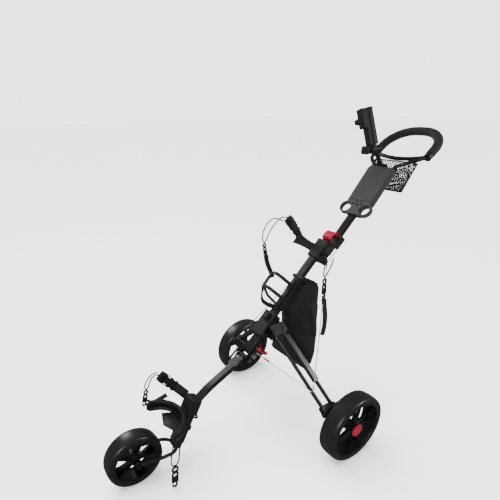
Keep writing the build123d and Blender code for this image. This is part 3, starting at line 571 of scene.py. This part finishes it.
webbing(
    "upper_left_web",
    [(-103, 84, 800), (-106, 80, 811), (-109, 72, 824)],
    34,
    MAIN_ALONG,
    "frame",
    "upper_strap_webbing",
)
webbing(
    "upper_left_tail",
    [(-130, -78, 742), (-128, -66, 700), (-127, -48, 664), (-126, -33, 629)],
    20,
    TURNED,
    "frame",
    "upper_strap_webbing",
)
webbing(
    "upper_right_tail",
    [(107, 33, 604), (107, 40, 572), (107, 48, 545), (107, 55, 512), (107, 58, 470), (107, 53, 426)],
    20,
    TURNED,
    "frame",
    "upper_strap_webbing",
)
webbing(
    "lower_left_web",
    [(-38, -536, 268), (-50, -560, 296), (-57, -576, 314)],
    38,
    MAIN_ALONG,
    "front",
    "lower_strap_webbing",
)
webbing(
    "lower_left_tail",
    [(-84, -694, 280), (-82, -668, 262), (-80, -640, 260), (-76, -604, 271)],
    18,
    TURNED,
    "front",
    "lower_strap_webbing",
)


# ---------------------------------------------------------------- wheels
SPOKE_PAIRS = 5


def wheel_offset(along, radius, angle):
    """Offset from a wheel's centre, in mm along its axle and out along a spoke."""
    return Vector((along / 1000, radius / 1000 * math.cos(angle), radius / 1000 * math.sin(angle)))


def tyre(name, radius, width, seat, centre, body, node_name):
    """Tyre with a crowned tread, round shoulders, a step at the sidewall and a bead on the rim."""
    half = width / 2
    side = [
        (half - 6, seat),
        (half - 1.5, seat + 1.5),
        (half - 0.4, seat + 6),
        (half - 1.6, seat + 8),
        (half, seat + 10.4),
        (half - 0.4, radius - 9.5),
        (half - 2.4, radius - 6),
        (half - 6.5, radius - 3.2),
        (half - 13, radius - 1.5),
        (half - 22, radius - 0.7),
    ]
    inside = [(0, seat)]
    crown = [(0, radius)]
    profile = inside + side + crown + [(-a, r) for a, r in reversed(side)]
    shape = Shape()
    shape.turned(profile, centre, ACROSS, 144)
    make(shape, name, "tyre", body, [node_name], crease=55)


def rim(name, centre, body, node_name, seat, width, hub, hub_half, spread, outward_side, broad):
    """Moulded rim: barrel with lips, hub with a stepped boss, and five spoke pairs that dish inward.

    seat is the tyre's seat radius, spread a pair's half angle, and broad fills each pair with a web."""
    shape = Shape()
    half = width / 2
    barrel = [
        (-half, seat + 1),
        (-half, seat - 9),
        (-half + 3, seat - 10),
        (-half + 6, seat - 7.5),
        (-half + 12, seat - 6.5),
        (0, seat - 5.5),
        (half - 12, seat - 6.5),
        (half - 6, seat - 7.5),
        (half - 3, seat - 10),
        (half, seat - 9),
        (half, seat + 1),
        (half - 4, seat),
        (-half + 4, seat),
    ]
    shape.turned(barrel, centre, ACROSS, 128)
    hub_profile = [(-hub_half, 9), (-hub_half, hub - 3), (-hub_half + 3, hub), (hub_half - 9, hub)]
    hub_profile += [(hub_half - 8, hub - 3), (hub_half, hub - 4), (hub_half, 9)]
    shape.turned(hub_profile, centre, ACROSS * outward_side, 64)
    shape.turned([(-7, hub - 1), (-7, hub + 3.5), (7, hub + 3.5), (7, hub - 1)], centre, ACROSS, 64)
    start_r, end_r = hub - 1, seat - 5.5
    for index in range(SPOKE_PAIRS):
        for side in (-1, 1):
            path = []
            for step in range(11):
                t = step / 10
                radius = start_r + (end_r - start_r) * t
                start_angle = side * math.radians(spread * 1.6)
                end_angle = side * math.radians(spread)
                bow = math.sin(math.pi * t) * side * (-0.055 if not broad else 0.03)
                angle = 2 * math.pi * index / SPOKE_PAIRS + start_angle + (end_angle - start_angle) * t + bow
                along = outward_side * (6 - 15 * t * t)
                path.append(centre + wheel_offset(along, radius, angle))
            scales = [1.15 - 0.35 * math.sin(math.pi * step / 10) for step in range(11)]
            shape.sweep(path, rounded(15, 8.5 if not broad else 9, 2.6), ACROSS, scales=scales)
        if broad:
            web = []
            for step in range(9):
                t = step / 8
                radius = start_r + (end_r - start_r) * t
                half_angle = math.radians(spread) * (1.5 - 0.5 * t)
                ring = []
                for corner, side in ((-3, -1), (3, -1), (3, 1), (-3, 1)):
                    angle = 2 * math.pi * index / SPOKE_PAIRS + side * half_angle
                    along = corner + outward_side * (1 - 12 * t * t)
                    ring.append(centre + wheel_offset(along, radius, angle))
                web.append(ring)
            shape.rings(web)
    make(shape, name, "rim_plastic", body, [node_name])


CAP_RIBS = 10
CAP_RIB_RADIUS = 0.0262
REAR = {"left": at(342, 0, 146), "right": at(-342, 0, 146)}
for side, centre in REAR.items():
    way = 1 if side == "left" else -1
    tyre(f"{side}_tyre_detail", 146, 70, 124, centre, f"{side}_wheel", f"{side}_tyre")
    rim(f"{side}_rim_detail", centre, f"{side}_wheel", f"{side}_rim", 124, 66, 22, 24, 11, way, False)
    cap = Shape()
    out = ACROSS * way
    cap_profile = [
        (22.6, 15.2),
        (23.6, 19.6),
        (26.8, 20.4),
        (27.6, 25.6),
        (28.8, 27),
        (33.0, 26.6),
        (35.0, 24.4),
        (35.4, 21),
        (34.2, 19.6),
        (34.4, 11),
        (35.5, 9.4),
        (36, 0.01),
        (27, 0.01),
        (27, 15.1),
    ]
    cap.turned(cap_profile, centre, out, 72)
    for index in range(CAP_RIBS):
        angle = 2 * math.pi * index / CAP_RIBS
        spoke = Vector((0, math.cos(angle), math.sin(angle)))
        rib = [centre + out * (a / 1000) + spoke * CAP_RIB_RADIUS for a in (28.6, 33.0)]
        cap.sweep(rib, circle(0.9, 8))
    make(cap, f"{side}_hub_cap", "red_plastic", f"{side}_button", [f"{side}_hub_button"])
front_centre = at(0, -796, 113.9)
tyre("front_tyre_detail", 113.9, 66, 92, front_centre, "front_wheel", "front_tyre")
rim("front_rim_detail", front_centre, "front_wheel", "front_rim", 92, 62, 20, 30, 12, 1, True)


# ---------------------------------------------------------------- handle grip
LOOP_SLOPE = math.radians(36.1)
LOOP_UP = Vector((0, math.cos(LOOP_SLOPE), math.sin(LOOP_SLOPE)))
LOOP_BASE = at(0, 518, 1101)
LOOP_HALF, LOOP_DEPTH, LOOP_CORNER = 118.0, 176.0, 105.0
FOAM_START = 41


def loop_point(x, depth):
    return LOOP_BASE + Vector((x / 1000, 0, 0)) + LOOP_UP * (depth / 1000)


def loop_path(low):
    """Centreline of the hand loop above a depth, up one arm, across and down the other."""
    straight = LOOP_DEPTH - LOOP_CORNER
    half = [loop_point(LOOP_HALF, low + (straight - low) * i / 6) for i in range(6)]
    for step in range(19):
        angle = math.pi / 2 * step / 18
        x = LOOP_HALF - LOOP_CORNER + LOOP_CORNER * math.cos(angle)
        half.append(loop_point(x, straight + LOOP_CORNER * math.sin(angle)))
    half += [loop_point((LOOP_HALF - LOOP_CORNER) * (1 - i / 3), LOOP_DEPTH) for i in range(1, 3)]
    return half + [Vector((-p.x, p.y, p.z)) for p in reversed(half[:-1])]


grip = Shape()
foam_line = loop_path(FOAM_START)
foam_count = len(foam_line)
ease = [0.93, 0.985] + [1.0] * (foam_count - 4) + [0.985, 0.93]
waves = [scale * (1 + 0.008 * math.sin(index * 1.9)) for index, scale in enumerate(ease)]
grip.sweep(foam_line, circle(18, 28), Vector((0, -math.sin(LOOP_SLOPE), math.cos(LOOP_SLOPE))), scales=waves)
foam = make(grip, "foam_grip_sleeve", "foam", "handle", ["foam_grip"], crease=60)


# ---------------------------------------------------------------- knobs
def knob(name, centre, axis, radius, length, lobes, stem, stem_run, body, slot, node_name):
    """Scalloped hand knob with a domed face, its boss and its screw."""
    shape = Shape()
    half = length / 2
    profile = [
        (-half, 0.01),
        (-half, radius * 0.62),
        (-half + 1.2, radius * 0.9),
        (-half + 3, radius),
        (half - 3, radius),
        (half - 1, radius * 0.88),
        (half, radius * 0.55),
        (half, 0.01),
    ]
    shape.turned(profile, centre, axis, 96, lobes, 0.11, 0.4)
    start, end = stem_run
    shape.turned([(start, 0.01), (start, stem), (end, stem), (end, 0.01)], centre, axis, 32)
    make(shape, name, slot, body, [node_name], crease=30)


UMB = at(0, 344, 1151)
UMB_ALONG = Vector((-math.sin(math.radians(22)), 0, math.cos(math.radians(22))))
clamp_point = UMB + UMB_ALONG * 0.112
knob(
    "tilt_knob_lobed",
    UMB - BACKWARD * 0.049,
    -BACKWARD,
    17.2,
    14,
    4,
    6.5,
    (-27, -6),
    "tilt_knob",
    "black_plastic",
    "umbrella_tilt_knob",
)
tilt_pin = Shape()
tilt_pin.turned([(0, 0.01), (0, 4), (76, 4), (76, 0.01)], UMB - BACKWARD * 0.036, BACKWARD, 32)
make(tilt_pin, "tilt_knob_pin", "steel", "tilt_knob", ["umbrella_tilt_knob"])
knob(
    "clamp_knob_lobed",
    clamp_point - BACKWARD * 0.067,
    -BACKWARD,
    11.8,
    10,
    5,
    5,
    (-20, -4),
    "clamp_knob",
    "black_plastic",
    "umbrella_clamp_knob",
)
HOUSING_OUT = Vector((0, -0.907, 0.421)).normalized()
HOUSING_TOP = at(0, -530, 262)
housing_down = Vector((0, -0.421, -0.907)).normalized()
release_centre = HOUSING_TOP + housing_down * 0.128 - HOUSING_OUT * 0.033
knob(
    "release_knob_ribbed",
    release_centre,
    -HOUSING_OUT,
    9.3,
    10,
    12,
    6.6,
    (-19, -4),
    "front_knob",
    "red_plastic",
    "release_knob",
)


# ---------------------------------------------------------------- latch lever
lever = Shape()
LEVER_PROFILE = ((595, -11), (597, 0), (606, 6.2), (619, 5.4), (630, 0), (637, -9), (636, -21))
LEVER_STEPS = 36
lever_line = curve_points([on_main(0, s, w) for s, w in LEVER_PROFILE], LEVER_STEPS)
lever_width = [0.88 + 0.12 * min(1.0, index / 6) for index in range(LEVER_STEPS)]
lever.sweep(lever_line, rounded(46, 5.2, 2.2), ACROSS, scales=lever_width)
for x in (-14, 0, 14):
    rib = [on_main(x, s, w) for s, w in ((603, 7.2), (612, 8.0), (622, 6.6))]
    lever.sweep(curve_points(rib, 8), circle(1.1, 8))
lever_hinge = on_main(0, 634, -22)
lever.turned([(-25, 2.9), (-25, 6.4), (-24, 7), (24, 7), (25, 6.4), (25, 2.9)], lever_hinge, ACROSS, 40)
lever.turned([(-33, 0.01), (-33, 3), (33, 3), (33, 0.01)], lever_hinge, ACROSS, 24)
make(lever, "latch_lever_curved", "red_plastic", "latch", ["latch_lever"])


# ---------------------------------------------------------------- bottle cage
def eased(points, count):
    """Smooth line from the first point to the last, pulled towards the corners between them."""
    middles = [points[i].lerp(points[i + 1], 0.5) for i in range(1, len(points) - 2)]
    starts = [points[0], *middles]
    ends = [*middles, points[-1]]
    line = []
    for start, corner, end in zip(starts, points[1:-1], ends):
        for step in range(count):
            t = step / count
            line.append(start.lerp(corner, t).lerp(corner.lerp(end, t), t))
    return [*line, points[-1]]


def main_points(places):
    return [on_main(*place) for place in places]


cage = Shape()
cage.bar(on_main(0, 230, 13), on_main(0, 378, 13), 18, 7, ACROSS, 2.5)
cage_bars = (
    ((-4, 352, 15), (-14, 352, 62), (-58, 356, 84), (-92, 352, 46)),
    ((-4, 286, 15), (-14, 286, 62), (-58, 290, 78), (-92, 286, 46)),
)
for places in cage_bars:
    cage.sweep(eased(main_points(places), 12), rounded(15, 7, 2.6), MAIN_ALONG)
spine = eased(main_points(((-92, 358, 46), (-101, 330, 44), (-92, 282, 46))), 14)
cage.sweep(spine, rounded(15, 8, 2.8), ACROSS)
prong = eased(main_points(((-4, 240, 15), (-40, 228, 24), (-78, 240, 36), (-92, 288, 46))), 12)
cage.sweep(prong, rounded(20, 7, 2.6), Vector((0, 0, 1)))
cage.sweep(main_points(((-4, 252, 15), (-40, 262, 50), (-66, 284, 74))), rounded(12, 6, 2.2), MAIN_ALONG)
make(cage, "bottle_cage_moulding", "black_plastic", "frame", ["bottle_cage"])


# ---------------------------------------------------------------- lower bag cradle
CRADLE_BACK, CRADLE_TIP = -585.0, (100.0, -678.0)
CRADLE_LOW, CRADLE_HIGH = 202.0, 252.0
sagitta = CRADLE_BACK - CRADLE_TIP[1]
cradle_radius = (CRADLE_TIP[0] ** 2 + sagitta**2) / (2 * sagitta)
cradle_centre = CRADLE_BACK - cradle_radius
cradle_reach = math.atan2(CRADLE_TIP[0], CRADLE_TIP[1] - cradle_centre)


def cradle_point(turn, z):
    """Point on the cradle's arc, turn from -1 at the right tip to 1 at the left."""
    angle = turn * cradle_reach
    return at(cradle_radius * math.sin(angle), cradle_centre + cradle_radius * math.cos(angle), z)


rim_radius = 9.0
cradle = Shape()
turns = [index / 12 - 1 for index in range(25)]
high, low = CRADLE_HIGH - rim_radius, CRADLE_LOW + rim_radius
middle = (high + low) / 2
roll = [cradle_point(t * 0.94, high) for t in turns]
roll += [cradle_point(1.0, middle + 9), cradle_point(1.0, middle - 9)]
roll += [cradle_point(t * 0.94, low) for t in reversed(turns)]
roll += [cradle_point(-1.0, middle - 9), cradle_point(-1.0, middle + 9)]
cradle.sweep(roll, circle(rim_radius, 20), closed=True)
web_line = [cradle_point(t * 0.97, middle) for t in turns]
cradle.sweep(web_line, rounded(high - low, 9, 3), Vector((0, 0, 1)))
cradle.bar(at(0, -552, 222), at(0, -590, 222), 44, 40, ACROSS, 4)
make(cradle, "lower_cradle_pad", "black_plastic", "front", ["lower_bag_cradle"])
shelf = Shape()
shelf_outline = ((60, -640), (34, -584), (-34, -584), (-60, -640), (0, -664))
shelf_levels = ((203, 0.96), (204, 1.0), (208, 1.0), (209, 0.96))
shelf.rings([[at(x * k, -620 + (y + 620) * k, z) for x, y in shelf_outline] for z, k in shelf_levels])
make(shelf, "lower_cradle_shelf", "black_plastic", "front", ["lower_bag_cradle"])


# ---------------------------------------------------------------- basket net
NET_RADIUS = 1.8
NET_PITCH = 0.0098
NET_BULGE = 0.0015
NET_LEAN = 0.62
NET_STEPS = 30
BASKET_WIRE = 2.4


def net_wall(shape, corners, pitch, bulge):
    """Diamond netting over a four-cornered wall (low start, low end, high start, high end)."""
    low_a, low_b, high_a, high_b = corners
    width = ((low_b - low_a).length + (high_b - high_a).length) / 2
    height = ((high_a - low_a).length + (high_b - low_b).length) / 2
    out = (low_b - low_a).cross(high_a - low_a).normalized()

    def place(u, v):
        point = low_a.lerp(low_b, u).lerp(high_a.lerp(high_b, u), v)
        return point + out * (bulge * 16 * u * (1 - u) * v * (1 - v))

    slant = height / width
    count = int((width + height) / pitch) + 2
    for way in (-1, 1):
        for index in range(-count, count + 1):
            offset = index * pitch / width
            line = []
            for step in range(NET_STEPS + 1):
                v = step / NET_STEPS
                u = offset + way * v * slant * NET_LEAN
                if 0 <= u <= 1:
                    line.append(place(u, v))
            if len(line) >= 2:
                shape.sweep(line, circle(NET_RADIUS, 5))


net = Shape()
tops = [at(*p) for p in ((-60, 442, 1066), (60, 442, 1066), (98, 512, 1092), (-98, 512, 1092))]
lows = [at(*p) for p in ((-66, 482, 972), (66, 482, 972), (66, 490, 972), (-66, 490, 972))]
for index in range(4):
    following = (index + 1) % 4
    net_wall(net, (lows[index], lows[following], tops[index], tops[following]), NET_PITCH, NET_BULGE)
make(net, "basket_netting", "net", "handle", ["basket_net"])
basket_frame = Shape()
for ring, wire in ((tops, BASKET_WIRE), (lows, 2.6)):
    edge_line = []
    for index in range(4):
        following = (index + 1) % 4
        edge_line += [ring[index].lerp(ring[following], t) for t in (0.06, 0.5, 0.94)]
    basket_frame.sweep(edge_line, circle(wire, 10), closed=True)
for low, top in zip(lows, tops):
    basket_frame.sweep([low, low.lerp(top, 0.5), top], circle(BASKET_WIRE, 10))
make(basket_frame, "basket_frame_wire", "black_paint", "handle", ["basket_wire"])


# ---------------------------------------------------------------- cables
LEG_TOP = Vector((45, -166, 474))
LEG_DIR = Vector((0.698, 0.169, -0.695)).normalized()
LEG_AXIS = Vector((0.709, -0.028, 0.705)).normalized()


def mirrored(point, way):
    return Vector((point.x * way, point.y, point.z))


for side, way in (("left", 1), ("right", -1)):
    rivet = LEG_TOP + LEG_DIR * 265 + LEG_AXIS * 9.5
    inner_rivet = rivet - LEG_AXIS * 2 + Vector((0, -7, 0))
    guide = mirrored(on_main(35, 515, -49), way)
    low = mirrored(at(*(rivet + LEG_AXIS * 2)), way)
    fore = mirrored(at(12, -222, 381), way)
    hook_end = mirrored(at(*inner_rivet), way)
    for name, start, end, radius, source in (
        ("stay", guide, low, 1.7, "stay_cables"),
        ("brake", fore, hook_end, 1.4, "brake_cables"),
    ):
        cable = Shape()
        cable.sweep([start.lerp(end, i / 30) for i in range(31)], circle(radius, 10))
        for near, far in ((0.0, 0.035), (0.965, 1.0)):
            cable.sweep([start.lerp(end, near), start.lerp(end, far)], circle(radius + 1.1, 12))
        made = make(cable, f"{side}_{name}_cable", "wire", None, [source])
        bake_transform(made)
    sleeve = Shape()
    centre, end = fore.lerp(hook_end, 0.13), fore.lerp(hook_end, 0.24)
    sleeve_line = [centre, centre.lerp(end, 0.1), centre.lerp(end, 0.9), end]
    sleeve.sweep(sleeve_line, circle(3.6, 14), scales=[0.7, 1, 1, 0.7])
    make(sleeve, f"{side}_brake_sleeve", "red_plastic", "frame", ["brake_cables"])


# ---------------------------------------------------------------- storage pouch
# Height, front y, rear y, front half width, rear half width.
POUCH = (
    (272, -42, 6, 118, 122),
    (330, -52, 40, 96, 116),
    (425, -62, 78, 46, 96),
    (540, -78, 84, 30, 76),
    (620, -18, 80, 28, 64),
    (652, 12, 72, 24, 52),
)


POUCH_BOTTOM, POUCH_TOP = 0.276, 0.648
POUCH_VOXEL, POUCH_PRESSURE, POUCH_FRAMES, POUCH_SWELL = 0.0065, 3.0, 16, 0.009


def pouch_corners(z):
    """Front and rear corner lines of the pouch at a height, as (front y, rear y, front half, rear half)."""
    heights = [row[0] for row in POUCH]
    return [float(np.interp(z, heights, [row[i] for row in POUCH])) for i in range(1, 5)]


def pouch_ring(z, inset, count=44):
    front, rear, front_half, rear_half = pouch_corners(z)
    corners = [
        (front_half - inset, front + inset),
        (rear_half - inset, rear - inset),
        (-rear_half + inset, rear - inset),
        (-front_half + inset, front + inset),
    ]
    outline = []
    for index, corner in enumerate(corners):
        before, after = Vector(corners[index - 1]), Vector(corners[(index + 1) % 4])
        corner = Vector(corner)
        cut = 0.24 if index in (1, 2) else 0.14
        a, b = corner.lerp(before, cut), corner.lerp(after, cut)
        for step in range(7):
            t = step / 6
            outline.append(a.lerp(corner, t).lerp(corner.lerp(b, t), t))
    total = [0.0]
    for one, two in zip(outline, outline[1:] + outline[:1]):
        total.append(total[-1] + (two - one).length)
    closed = outline + outline[:1]
    ring = []
    for index in range(count):
        place = total[-1] * index / count
        span = int(np.searchsorted(total, place, side="right")) - 1
        t = (place - total[span]) / max(total[span + 1] - total[span], 1e-9)
        point = closed[span].lerp(closed[span + 1], t)
        ring.append(at(point.x, point.y, z))
    return ring


shell = Shape()
levels = [276, 284] + [300 + 12 * i for i in range(29)] + [644, 648]
insets = [16, 11] + [8] * 29 + [11, 15]
shell.rings([pouch_ring(z, inset) for z, inset in zip(levels, insets)])
pouch = make(shell, "storage_pouch_cloth", "pouch_fabric", crease=70)


def puff(piece, voxel, pressure, frames, cap):
    """Inflate cloth a little, with no vertex moving further than cap."""
    before = bpy.context.view_layer.objects.active
    bpy.context.view_layer.objects.active = piece
    remesh = piece.modifiers.new("remesh", "REMESH")
    remesh.mode = "VOXEL"
    remesh.voxel_size = voxel
    remesh.use_smooth_shade = True
    bpy.ops.object.modifier_apply(modifier=remesh.name)
    count = len(piece.data.vertices)
    rest = np.zeros(count * 3)
    piece.data.vertices.foreach_get("co", rest)
    cloth = piece.modifiers.new("cloth", "CLOTH")
    cloth.settings.quality = 5
    cloth.settings.mass = 0.3
    cloth.settings.use_pressure = True
    cloth.settings.uniform_pressure_force = pressure
    cloth.settings.effector_weights.gravity = 0.0
    cloth.settings.tension_stiffness = 18
    cloth.settings.compression_stiffness = 18
    cloth.settings.bending_stiffness = 2.5
    cloth.point_cache.frame_end = frames
    for number in range(1, frames + 1):
        bpy.context.scene.frame_set(number)
    bpy.ops.object.modifier_apply(modifier=cloth.name)
    bpy.context.scene.frame_set(1)
    moved = np.zeros(count * 3)
    piece.data.vertices.foreach_get("co", moved)
    step = (moved - rest).reshape(-1, 3)
    distance = np.linalg.norm(step, axis=1)
    step *= np.minimum(1, cap / np.maximum(distance, 1e-9))[:, None]
    piece.data.vertices.foreach_set("co", (rest.reshape(-1, 3) + step).ravel())
    piece.data.update()
    bpy.context.view_layer.objects.active = before


def wrinkle(piece, low, high):
    """Soft vertical folds that fade towards the seams at the top and bottom."""
    for vertex in piece.data.vertices:
        height = (vertex.co.z - low) / (high - low)
        fade = max(0.0, math.sin(math.pi * min(1, max(0, height))))
        x, y, z = vertex.co
        fold = math.sin(38 * x + 9 * math.sin(11 * z) + 24 * y) + 0.6 * math.sin(61 * x - 17 * z + 2.0)
        vertex.co += vertex.normal * (0.0011 * fade * fold)


puff(pouch, POUCH_VOXEL, POUCH_PRESSURE, POUCH_FRAMES, POUCH_SWELL)
wrinkle(pouch, POUCH_BOTTOM, POUCH_TOP)
pouch.data.polygons.foreach_set("use_smooth", [True] * len(pouch.data.polygons))
pouch.data.update()
if not pouch.data.materials:
    pouch.data.materials.append(MATERIALS["pouch_fabric"])
tree = BVHTree.FromPolygons([v.co for v in pouch.data.vertices], [p.vertices[:] for p in pouch.data.polygons])


def on_pouch(point, lift):
    place, normal, _, _ = tree.find_nearest(point)
    return place + normal * lift


def seam(points, radius, name, slot):
    shape = Shape()
    line = [on_pouch(point, radius * 0.35 / 1000) for point in points]
    shape.sweep(line, circle(radius, 8))
    return make(shape, name, slot)


trims = []
for side, way in (("left", 1), ("right", -1)):
    for edge, index_y, index_x in (("front", 0, 2), ("rear", 1, 3)):
        line = []
        for z in range(292, 640, 8):
            corners = pouch_corners(z)
            line.append(at(way * corners[index_x] * 0.97, corners[index_y] * 0.98, z))
        trims.append(seam(line, 1.5, f"pouch_{side}_{edge}_piping", "pouch_fabric"))
zip_tape = Shape()
zip_line = [on_pouch(point, 0.0006) for point in pouch_ring(634, 2)]
zip_tape.sweep(zip_line, rounded(9, 1.2, 0.5, 2), Vector((0, 0, 1)), closed=True)
trims.append(make(zip_tape, "pouch_hem_binding", "webbing"))
zip_pull = Shape()
pull_top = on_pouch(at(66, 30, 634), 0.002)
zip_pull.bar(pull_top, pull_top - Vector((0, 0, 0.03)), 8, 2.4, BACKWARD, 1.1)
trims.append(make(zip_pull, "pouch_zip_pull", "webbing"))

for piece in [pouch, *trims]:
    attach(piece, "frame")
    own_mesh(piece)
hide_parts("storage_pouch")


# ---------------------------------------------------------------- stage and light
SUN_POWER = 8.4
ROOM_LIGHT = 0.16
BACKDROP = 3.1


def sheet_material(name, colour, rough, glow):
    material = bpy.data.materials.new(name)
    material.use_nodes = True
    bsdf = material.node_tree.nodes["Principled BSDF"]
    bsdf.inputs["Base Color"].default_value = (*colour, 1)
    bsdf.inputs["Roughness"].default_value = rough
    bsdf.inputs["Emission Color"].default_value = (1, 1, 1, 1)
    bsdf.inputs["Emission Strength"].default_value = glow
    return material


floor_mesh = bpy.data.meshes.new("floor")
SPAN = 30.0
floor_mesh.from_pydata(
    [(-SPAN, -SPAN, 0), (SPAN, -SPAN, 0), (SPAN, SPAN, 0), (-SPAN, SPAN, 0)], [], [(0, 1, 2, 3)]
)
floor = bpy.data.objects.new("floor", floor_mesh)
floor.location.z = -0.0005
floor_mesh.materials.append(sheet_material("pale_floor", (0.97, 0.97, 0.97), 0.8, 0.5))
bpy.context.scene.collection.objects.link(floor)
floor.visible_glossy = False


def area_light(name, place, target, size, power):
    data = bpy.data.lights.new(name, "AREA")
    data.size = size
    data.energy = power
    lamp = bpy.data.objects.new(name, data)
    bpy.context.scene.collection.objects.link(lamp)
    lamp.location = place
    lamp.rotation_euler = (Vector(target) - Vector(place)).to_track_quat("-Z", "Y").to_euler()


def sun(name, direction, angle, strength):
    data = bpy.data.lights.new(name, "SUN")
    data.angle = math.radians(angle)
    data.energy = strength
    lamp = bpy.data.objects.new(name, data)
    bpy.context.scene.collection.objects.link(lamp)
    lamp.rotation_euler = Vector(direction).to_track_quat("-Z", "Y").to_euler()
    lamp.visible_glossy = False


CENTRE = (0, 0, 0.6)
sun("overhead", (0.25, 0.2, -1.0), 60, SUN_POWER)
area_light("front_box", (1.9, -2.6, 1.9), CENTRE, 0.9, 46)
area_light("rear_box", (2.6, 2.2, 2.0), CENTRE, 0.9, 50)
area_light("far_box", (-2.8, -0.6, 2.4), CENTRE, 1.2, 44)
world = bpy.data.worlds.new("studio")
world.use_nodes = True
world_tree = world.node_tree
room = world_tree.nodes["Background"]
room.inputs["Color"].default_value = (1, 1, 1, 1)
room.inputs["Strength"].default_value = ROOM_LIGHT
seen = node(world_tree, "ShaderNodeBackground", Strength=BACKDROP)
seen.inputs["Color"].default_value = (1, 1, 1, 1)
ray = node(world_tree, "ShaderNodeLightPath")
choice = node(world_tree, "ShaderNodeMixShader")
world_tree.links.new(ray.outputs["Is Camera Ray"], choice.inputs["Fac"])
world_tree.links.new(room.outputs["Background"], choice.inputs[1])
world_tree.links.new(seen.outputs["Background"], choice.inputs[2])
world_tree.links.new(choice.outputs["Shader"], world_tree.nodes["World Output"].inputs["Surface"])
bpy.context.scene.world = world
